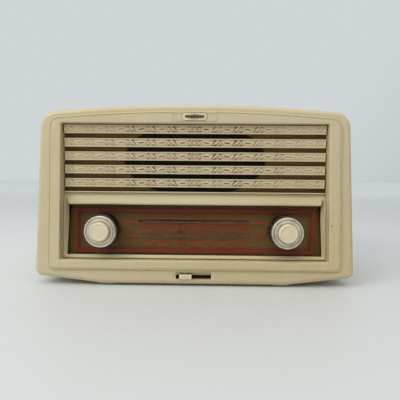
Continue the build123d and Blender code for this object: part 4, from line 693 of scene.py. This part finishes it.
def speaker_cloth(material):
    """A stretched sheet whose threads pass over and under each other."""
    low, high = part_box("speaker_cloth")
    step = CLOTH_THREAD / 2
    across = int(round((high.x - low.x) / step))
    upwards = int(round((high.z - low.z) / step))
    i, j = np.meshgrid(np.arange(across + 1), np.arange(upwards + 1), indexing="ij")
    x = low.x + (high.x - low.x) * i / across
    z = low.z + (high.z - low.z) * j / upwards
    over = np.sin(pi * i / 2) * np.sin(pi * j / 2)
    slack = 0.5 + 0.5 * np.sin(x * 31.0) * np.sin(z * 47.0 + x * 9.0)
    y = low.y + WEAVE_MIDDLE - THREAD_RISE * over - SLACK * slack
    front = np.stack([x, y, z], axis=-1).reshape(-1, 3)
    number = np.arange((across + 1) * (upwards + 1)).reshape(across + 1, upwards + 1)
    quads = np.stack([number[:-1, :-1], number[1:, :-1], number[1:, 1:], number[:-1, 1:]], axis=-1)
    faces = [tuple(q) for q in quads.reshape(-1, 4).tolist()]
    rim = (number[:, 0].tolist() + number[-1, 1:].tolist()
           + number[-2::-1, -1].tolist() + number[0, -2:0:-1].tolist())
    start = len(front)
    back = [(front[n][0], high.y, front[n][2]) for n in rim]
    for k in range(len(rim)):
        after = (k + 1) % len(rim)
        faces.append((rim[after], rim[k], start + k, start + after))
    faces.append(tuple(range(start + len(rim) - 1, start - 1, -1)))
    solids = Solids()
    solids.mesh(front.tolist() + back, faces)
    made = piece("speaker_weave_sheet", solids, material, SET, ["speaker_cloth"])


# ---------------------------------------------------------------------------
# Knobs
# ---------------------------------------------------------------------------
RING_ROLL = 1.1 * MM       # radius of the rolled rim
BEAD_R = 0.9 * MM
CAP_GAP = 0.2 * MM         # between the cap and the ring round it
CAP_SHOULDER = 1.7 * MM
SPINDLE_R = 3 * MM
HUB_R = 7 * MM
SKIRT_WALL = 2.5 * MM
SKIRT_HOLLOW = 4 * MM      # depth of the skirt's front face


def knob_ring(stem, body, material):
    """Bright ring: a rolled rim, a dark groove and a gently dished face."""
    node = f"{stem}_knob_ring"
    low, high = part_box(node)
    outer = (high.x - low.x) / 2
    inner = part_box(f"{stem}_knob_cap")[1].x - middle(node).x + CAP_GAP
    front, back = low.y, high.y
    rim = arc(outer - RING_ROLL, front + RING_ROLL, RING_ROLL, 0, -180, 8)
    groove = [(outer - 2.3 * MM, front + 2.4 * MM), (outer - 2.9 * MM, front + 2.4 * MM)]
    bead = arc(outer - 3.9 * MM, front + 1.3 * MM, BEAD_R, 0, -110, 6)
    dish = [
        (outer - 5.4 * MM, front + 0.7 * MM), (inner + 0.5 * MM, front + 1.1 * MM),
        (inner, front + 1.6 * MM), (inner, back),
    ]
    profile = [(outer, back)] + rim + groove + bead + dish
    solids = Solids()
    turned(solids, middle(node), profile)
    piece(f"{stem}_ring_turned", solids, material, body, [node], crisp=50.0)


def knob_cap(stem, body, material):
    """Cream cap with a soft shoulder and a barely domed face inside a fine step."""
    node = f"{stem}_knob_cap"
    low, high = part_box(node)
    radius = (high.x - low.x) / 2
    front, back = low.y, high.y
    shoulder = arc(radius - CAP_SHOULDER, front + CAP_SHOULDER, CAP_SHOULDER, 0, -90, 8)
    face = [
        (radius - 2.5 * MM, front), (radius - 2.9 * MM, front + 0.35 * MM),
        (radius - 3.3 * MM, front + 0.35 * MM), (radius * 0.5, front + 0.22 * MM),
        (radius * 0.25, front + 0.16 * MM), (0, front + 0.14 * MM),
    ]
    spindle_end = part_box(f"{stem}_spindle")[0].y
    profile = [(0, spindle_end), (SPINDLE_R, spindle_end), (SPINDLE_R, back), (radius, back)]
    solids = Solids()
    turned(solids, middle(node), profile + shoulder + face)
    piece(f"{stem}_cap_turned", solids, material, body, [node], crisp=50.0)


def knob_skirt(stem, body, material):
    """Black skirt, hollow behind its front face, with a hub round the spindle."""
    node = f"{stem}_knob_skirt"
    low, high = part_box(node)
    outer = (high.x - low.x) / 2
    front, back = low.y, high.y - 1.5 * MM
    inside = outer - SKIRT_WALL - 0.3 * MM
    profile = [
        (SPINDLE_R, front), (SPINDLE_R, high.y), (HUB_R, high.y), (HUB_R, front + SKIRT_HOLLOW),
        (inside, front + SKIRT_HOLLOW), (inside, back),
        (outer - 0.4 * MM, back), (outer, back - 0.4 * MM), (outer - 0.1 * MM, back - 2 * MM),
        (outer - 0.3 * MM, back - 6 * MM), (outer - 0.5 * MM, front + 0.5 * MM),
        (outer - 0.8 * MM, front),
    ]
    solids = Solids()
    turned(solids, middle(node), profile)
    piece(f"{stem}_skirt_turned", solids, material, body, [node], crisp=50.0)


# ---------------------------------------------------------------------------
# Dial print on the back of the glass: generic numbers, ticks and blocks
# ---------------------------------------------------------------------------
INK_GAP = 0.02 * MM
INK = 0.05 * MM


def behind_glass(x, z, behind):
    """A point on the leaning dial at height z, a little behind the glass."""
    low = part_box("dial_glass")[0]
    foot_z = low.z + GLASS_THICK * sin(DIAL_LEAN)
    y = low.y + (z - foot_z) * tan(DIAL_LEAN) + (GLASS_THICK + behind) / cos(DIAL_LEAN)
    return (x, y, z)


def block(solids, low_x, low_z, high_x, high_z, spread=0.0):
    """A printed rectangle, by its corners in metres. Spread leans its top sideways."""
    corners = [(low_x, low_z), (high_x, low_z), (high_x + spread, high_z), (low_x + spread, high_z)]
    solids.prism([behind_glass(x, z, INK_GAP) for x, z in corners],
                 [behind_glass(x, z, INK_GAP + INK) for x, z in corners])


def number_print(solids, text, x, z, height, wide=1.0):
    """Printed digits, centred on x, standing on z."""
    curve = bpy.data.curves.new("digits", "FONT")
    curve.body = text
    curve.size = height * 1.4
    curve.align_x = "CENTER"
    curve.resolution_u = 3
    shape = bpy.data.objects.new("digits", curve)
    bpy.context.scene.collection.objects.link(shape)
    flat = bpy.data.meshes.new_from_object(shape.evaluated_get(bpy.context.evaluated_depsgraph_get()))
    work = bmesh.new()
    work.from_mesh(flat)
    bmesh.ops.remove_doubles(work, verts=work.verts, dist=0.01 * MM)
    bmesh.ops.delete(work, geom=[e for e in work.edges if not e.link_faces], context="EDGES")
    made = bmesh.ops.extrude_face_region(work, geom=work.faces[:] + work.edges[:] + work.verts[:])
    for vertex in made["geom"]:
        if isinstance(vertex, bmesh.types.BMVert):
            vertex.co.z = -INK
    work.verts.index_update()
    points = [behind_glass(x + v.co.x * wide, z + v.co.y, INK_GAP - v.co.z) for v in work.verts]
    faces = [[v.index for v in face.verts] for face in work.faces]
    solids.mesh(points, faces)
    work.free()
    bpy.data.objects.remove(shape)
    bpy.data.curves.remove(curve)
    bpy.data.meshes.remove(flat)


BORDER_X = 148 * MM
BORDER_LOW = 40.0 * MM
BORDER_HIGH = 90.4 * MM
BORDER_WIDE = 4.2 * MM
BORDER_SPREAD = 2.6 * MM       # how much further out each side runs at the top
SCALE_LOW_X = -68 * MM
SCALE_HIGH_X = 71 * MM
SCALES = ((76.0 * MM, 2.4 * MM), (59.0 * MM, 2.6 * MM))      # height and thickness
TICKS = 70
TALL_TICK_EVERY = 5
TEXT_ROWS = (71.6 * MM, 69.0 * MM, 66.4 * MM)
TEXT_BLOCKS = 22           # in each row
WIDE_DIGITS = 1.3
UPPER_NUMBERS = ("200", "250", "300", "350", "400", "450", "500", "550")
LOWER_NUMBERS = ("1000", "1200", "1400", "1600", "1800", "2000")
LARGE_NUMBERS = ("10", "20", "30", "40", "50", "60", "70")
UPPER_Z, UPPER_HIGH = 79.6 * MM, 2.8 * MM
LOWER_Z, LOWER_HIGH = 61.8 * MM, 2.6 * MM
LARGE_Z, LARGE_HIGH = 46.4 * MM, 7.0 * MM
LARGE_FROM_X = -56.5 * MM
LARGE_PITCH = 18.9 * MM
END_BLOCKS_X = (-78.5 * MM, 81 * MM)
END_BLOCK_PITCH = 4.4 * MM
END_BLOCK_HALF = 1.9 * MM


def dial_border(material):
    """A broad band all round, with a fine line inside it."""
    solids = Solids()
    for inset, wide in ((0.0, BORDER_WIDE), (4.2 * MM, 0.5 * MM)):
        x, low, high = BORDER_X - inset, BORDER_LOW + inset, BORDER_HIGH - inset
        half = wide / 2
        top_x = x + BORDER_SPREAD
        block(solids, -x - half, low - half, x + half, low + half)
        block(solids, -top_x - half, high - half, top_x + half, high + half)
        block(solids, -x - half, low + half, -x + half, high - half, -BORDER_SPREAD)
        block(solids, x - half, low + half, x + half, high - half, BORDER_SPREAD)
    piece("dial_print_border", solids, material, SET)


def dial_scales(material):
    """Two scale lines, each a row of ticks on a solid band."""
    solids = Solids()
    for z, thick in SCALES:
        top = z + thick / 2
        block(solids, SCALE_LOW_X, z - thick / 2, SCALE_HIGH_X, top)
        for i in range(TICKS + 1):
            x = SCALE_LOW_X + (SCALE_HIGH_X - SCALE_LOW_X) * i / TICKS
            tall, half = 0.8 * MM, 0.25 * MM
            if i % TALL_TICK_EVERY == 0:
                tall, half = 1.5 * MM, 0.35 * MM
            x = min(max(x, SCALE_LOW_X + half), SCALE_HIGH_X - half)
            block(solids, x - half, top, x + half, top + tall)
    piece("dial_print_scales", solids, material, SET)


def dial_numbers(material):
    """Red print: numbers along the scales, and small blocks in rows where
    place names would be on a real dial."""
    solids = Solids()
    span = SCALE_HIGH_X - SCALE_LOW_X
    for index, text in enumerate(UPPER_NUMBERS):
        x = SCALE_LOW_X + span * (index + 0.5) / len(UPPER_NUMBERS)
        number_print(solids, text, x, UPPER_Z, UPPER_HIGH, wide=WIDE_DIGITS)
    for index, text in enumerate(LOWER_NUMBERS):
        x = SCALE_LOW_X + span * (index + 0.5) / len(LOWER_NUMBERS)
        number_print(solids, text, x, LOWER_Z, LOWER_HIGH, wide=WIDE_DIGITS)
    for row, z in enumerate(TEXT_ROWS):
        for index in range(TEXT_BLOCKS):
            x = SCALE_LOW_X + span * (index + 0.5) / TEXT_BLOCKS
            half = (2.1 + 0.7 * sin(index * 2.4 + row * 1.7)) * MM
            block(solids, x - half, z - 0.6 * MM, x + half, z + 0.6 * MM)
    for index, text in enumerate(LARGE_NUMBERS):
        x = LARGE_FROM_X + LARGE_PITCH * index
        number_print(solids, text, x, LARGE_Z, LARGE_HIGH, wide=WIDE_DIGITS)
    for z, thick in SCALES:
        for middle_x in END_BLOCKS_X:
            for place in (-1, 0, 1):
                x = middle_x + place * END_BLOCK_PITCH
                block(solids, x - END_BLOCK_HALF, z - thick / 2, x + END_BLOCK_HALF, z + thick / 2)
    piece("dial_print_numbers", solids, material, SET)


# ---------------------------------------------------------------------------
# Badge emblem: a row of upright strokes that swells like a sound
# ---------------------------------------------------------------------------
EMBLEM_STROKES = 8         # on each side of the middle one
EMBLEM_PITCH = 1.35 * MM
EMBLEM_SUNK = -0.1 * MM
EMBLEM_PROUD = 0.3 * MM
BADGE_CHAMFER = 0.4 * MM


def on_badge(x, z, proud):
    """A point in front of the badge plate's leaning face."""
    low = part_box("badge_plate")[0]
    y = low.y + (z - low.z - BADGE_CHAMFER) * tan(FACE_LEAN) - proud / cos(FACE_LEAN)
    return (x, y, z)


def badge_emblem(material):
    """Generic mark: raised strokes of uneven height over a thin line."""
    centre_z = middle("badge_plate").z
    solids = Solids()

    def bar(centre_x, base, half_width, half_height):
        left, right = centre_x - half_width, centre_x + half_width
        foot, head = base - half_height, base + half_height
        corners = [(left, foot), (right, foot), (right, head), (left, head)]
        solids.prism([on_badge(x, z, EMBLEM_PROUD) for x, z in corners],
                     [on_badge(x, z, EMBLEM_SUNK) for x, z in corners])

    for index in range(-EMBLEM_STROKES, EMBLEM_STROKES + 1):
        swell = exp(-(index / 6.0) ** 2)
        tall = (1.3 + 2.0 * swell * abs(cos(index * 1.9))) * MM
        bar(index * EMBLEM_PITCH, centre_z, 0.5 * MM, tall)
    bar(0.0, centre_z, (EMBLEM_STROKES + 0.6) * EMBLEM_PITCH, 0.4 * MM)
    piece("badge_wave", solids, material, SET)


# ---------------------------------------------------------------------------
# Felt feet
# ---------------------------------------------------------------------------
FOOT_HALF_X = 12 * MM
FOOT_HALF_Y = 5.5 * MM
FOOT_LAYERS = (            # (share of the height, how far the edge is drawn in)
    (0.0, 0.35 * MM),
    (0.25, 0.08 * MM),
    (0.6, 0.0),
    (1.0, 0.15 * MM),
)
FOOT_POINTS = 48


def felt_feet(material):
    """Four oblong felt pads with soft edges, pressed flat underneath."""
    low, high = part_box("feet")
    solids = Solids()
    for x in (low.x + FOOT_HALF_X, high.x - FOOT_HALF_X):
        for y in (low.y + FOOT_HALF_Y, high.y - FOOT_HALF_Y):
            points, faces = [], []
            for share, pinch in FOOT_LAYERS:
                for i in range(FOOT_POINTS):
                    turn = 2 * pi * i / FOOT_POINTS
                    radius = FOOT_HALF_Y - pinch
                    shift = (FOOT_HALF_X - FOOT_HALF_Y) * (1 if cos(turn) >= 0 else -1)
                    points.append((x + shift + radius * cos(turn), y + radius * sin(turn),
                                   low.z + share * (high.z - low.z)))
            for level in range(len(FOOT_LAYERS) - 1):
                for i in range(FOOT_POINTS):
                    j = (i + 1) % FOOT_POINTS
                    start = level * FOOT_POINTS
                    after = start + FOOT_POINTS
                    faces.append((start + i, start + j, after + j, after + i))
            faces.append(tuple(range(FOOT_POINTS - 1, -1, -1)))
            top = (len(FOOT_LAYERS) - 1) * FOOT_POINTS
            faces.append(tuple(range(top, top + FOOT_POINTS)))
            solids.mesh(points, faces)
    made = piece("felt_pads", solids, material, SET, ["feet"])


# ---------------------------------------------------------------------------
# Stage: floor, light and camera
# ---------------------------------------------------------------------------
FLOOR_REACH = 30.0
FLOOR_GLOW_FADE = (0.4, 3.0)      # behind the set, where a painted glow lightens the floor to meet the sky


def floor():
    mesh = bpy.data.meshes.new("floor")
    reach = FLOOR_REACH
    corners = [(-reach, -reach, 0), (reach, -reach, 0), (reach, reach, 0), (-reach, reach, 0)]
    mesh.from_pydata(corners, [], [(0, 1, 2, 3)])
    f = Finish("floor_pale_glow", IOR=1.4, Emission_Strength=1.0)
    # painted light: the floor glows more with distance behind the set, though it is no lamp
    far_glow = f.fade(f.along("Y"), *FLOOR_GLOW_FADE)
    f.feed(f.shader.inputs["Emission Color"], f.blend(far_glow, tone(0, 0, 0), tone(108, 111, 113)))
    mesh.materials.append(f.done(tone(213, 214, 213), f.fade(f.noise(3.0), 0.3, 0.7, 0.36, 0.44)))
    made = bpy.data.objects.new("floor", mesh)
    bpy.context.scene.collection.objects.link(made)


SKY_AXIS = (-0.6, 0.6, 0.75)
SKY_BRIGHT = 0.93
SKY_DIM = 0.4
KEY_WATTS = 14.0
TOP_WATTS = 18.5


def lamp(name, place, aim, size, watts, colour=(1.0, 1.0, 1.0)):
    light = bpy.data.lights.new(name, "AREA")
    light.shape = "DISK"
    light.size = size
    light.energy = watts
    light.color = colour
    made = bpy.data.objects.new(name, light)
    made.location = place
    made.rotation_euler = (Vector(aim) - Vector(place)).to_track_quat("-Z", "Y").to_euler()
    bpy.context.scene.collection.objects.link(made)


def sky():
    """Soft light from all round, brightest above, behind and to the left."""
    world = bpy.data.worlds.new("studio")
    world.use_nodes = True
    nodes, links = world.node_tree.nodes, world.node_tree.links
    background = nodes["Background"]
    background.inputs["Color"].default_value = tone(214, 219, 221)
    direction = nodes.new("ShaderNodeTexCoord").outputs["Generated"]
    toward = nodes.new("ShaderNodeVectorMath")
    toward.operation = "DOT_PRODUCT"
    toward.inputs[1].default_value = Vector(SKY_AXIS).normalized()
    ramp = nodes.new("ShaderNodeMapRange")
    ramp.interpolation_type = "SMOOTHSTEP"
    for socket, number in zip(ramp.inputs[1:5], (-0.6, 0.5, SKY_DIM, SKY_BRIGHT)):
        socket.default_value = number
    links.new(direction, toward.inputs[0])
    links.new(toward.outputs["Value"], ramp.inputs["Value"])
    links.new(ramp.outputs["Result"], background.inputs["Strength"])
    bpy.context.scene.world = world


def studio():
    sky()
    target = (0.0, 0.0, 0.1)
    lamp("key", (-1.5, -1.0, 1.5), target, 1.0, KEY_WATTS, (1.0, 0.985, 0.96))
    lamp("above", (-0.1, -0.85, 1.8), target, 2.4, TOP_WATTS)
    bpy.context.scene.view_settings.view_transform = "Standard"


def camera():
    forward = Vector((sin(CAMERA_YAW) * cos(CAMERA_DOWN), cos(CAMERA_YAW) * cos(CAMERA_DOWN),
                      -sin(CAMERA_DOWN)))
    level = Vector((cos(CAMERA_YAW), -sin(CAMERA_YAW), 0))
    above = level.cross(forward)
    right = cos(CAMERA_ROLL) * level + sin(CAMERA_ROLL) * above
    up = -sin(CAMERA_ROLL) * level + cos(CAMERA_ROLL) * above
    lens_data = bpy.data.cameras.new("camera")
    lens_data.lens = CAMERA_LENS
    lens_data.sensor_width = CAMERA_SENSOR
    lens_data.clip_start = CAMERA_NEAR
    made = bpy.data.objects.new("camera", lens_data)
    turned_to = Matrix((right, up, -forward)).transposed().to_4x4()
    made.matrix_world = Matrix.Translation(CAMERA_PLACE) @ turned_to
    bpy.context.scene.collection.objects.link(made)
    bpy.context.scene.camera = made


# ---------------------------------------------------------------------------
# Everything together
# ---------------------------------------------------------------------------
def dress_nodes(finishes):
    """Each CAD node takes the material of its slot."""
    slots = {row["node"]: row["material_slot"] for row in frame["record"]["subparts"]}
    slots["wave_slot_plate"] = "slot_plate"      # duller than the rest of the steel, and painted lighter to stand in for light inside its shaded slot
    for node, shown in frame["nodes"].items():
        shown.data.materials.clear()
        shown.data.materials.append(finishes[slots[node]])


camera()
finishes = all_finishes()
dress_nodes(finishes)
for number in range(1, 6):
    louvre(number, finishes["louvre"])
speaker_cloth(finishes["cloth"])
for stem, body in (("volume", "volume_control_knob"), ("tuning", "tuning_control_knob")):
    knob_ring(stem, body, finishes["knob_ring"])
    knob_cap(stem, body, finishes["knob_cap"])
    knob_skirt(stem, body, finishes["knob_black"])
dial_border(printed("print_brown_red", tone(134, 42, 8), tone(124, 50, 14)))
dial_scales(printed("print_slate", tone(88, 56, 46), tone(108, 78, 64)))
dial_numbers(printed("print_red", tone(172, 52, 16), tone(152, 58, 22)))
badge_emblem(moulded("badge_enamel", tone(40, 34, 28), tone(58, 50, 40), 0.3))
felt_feet(finishes["felt"])
floor()
studio()
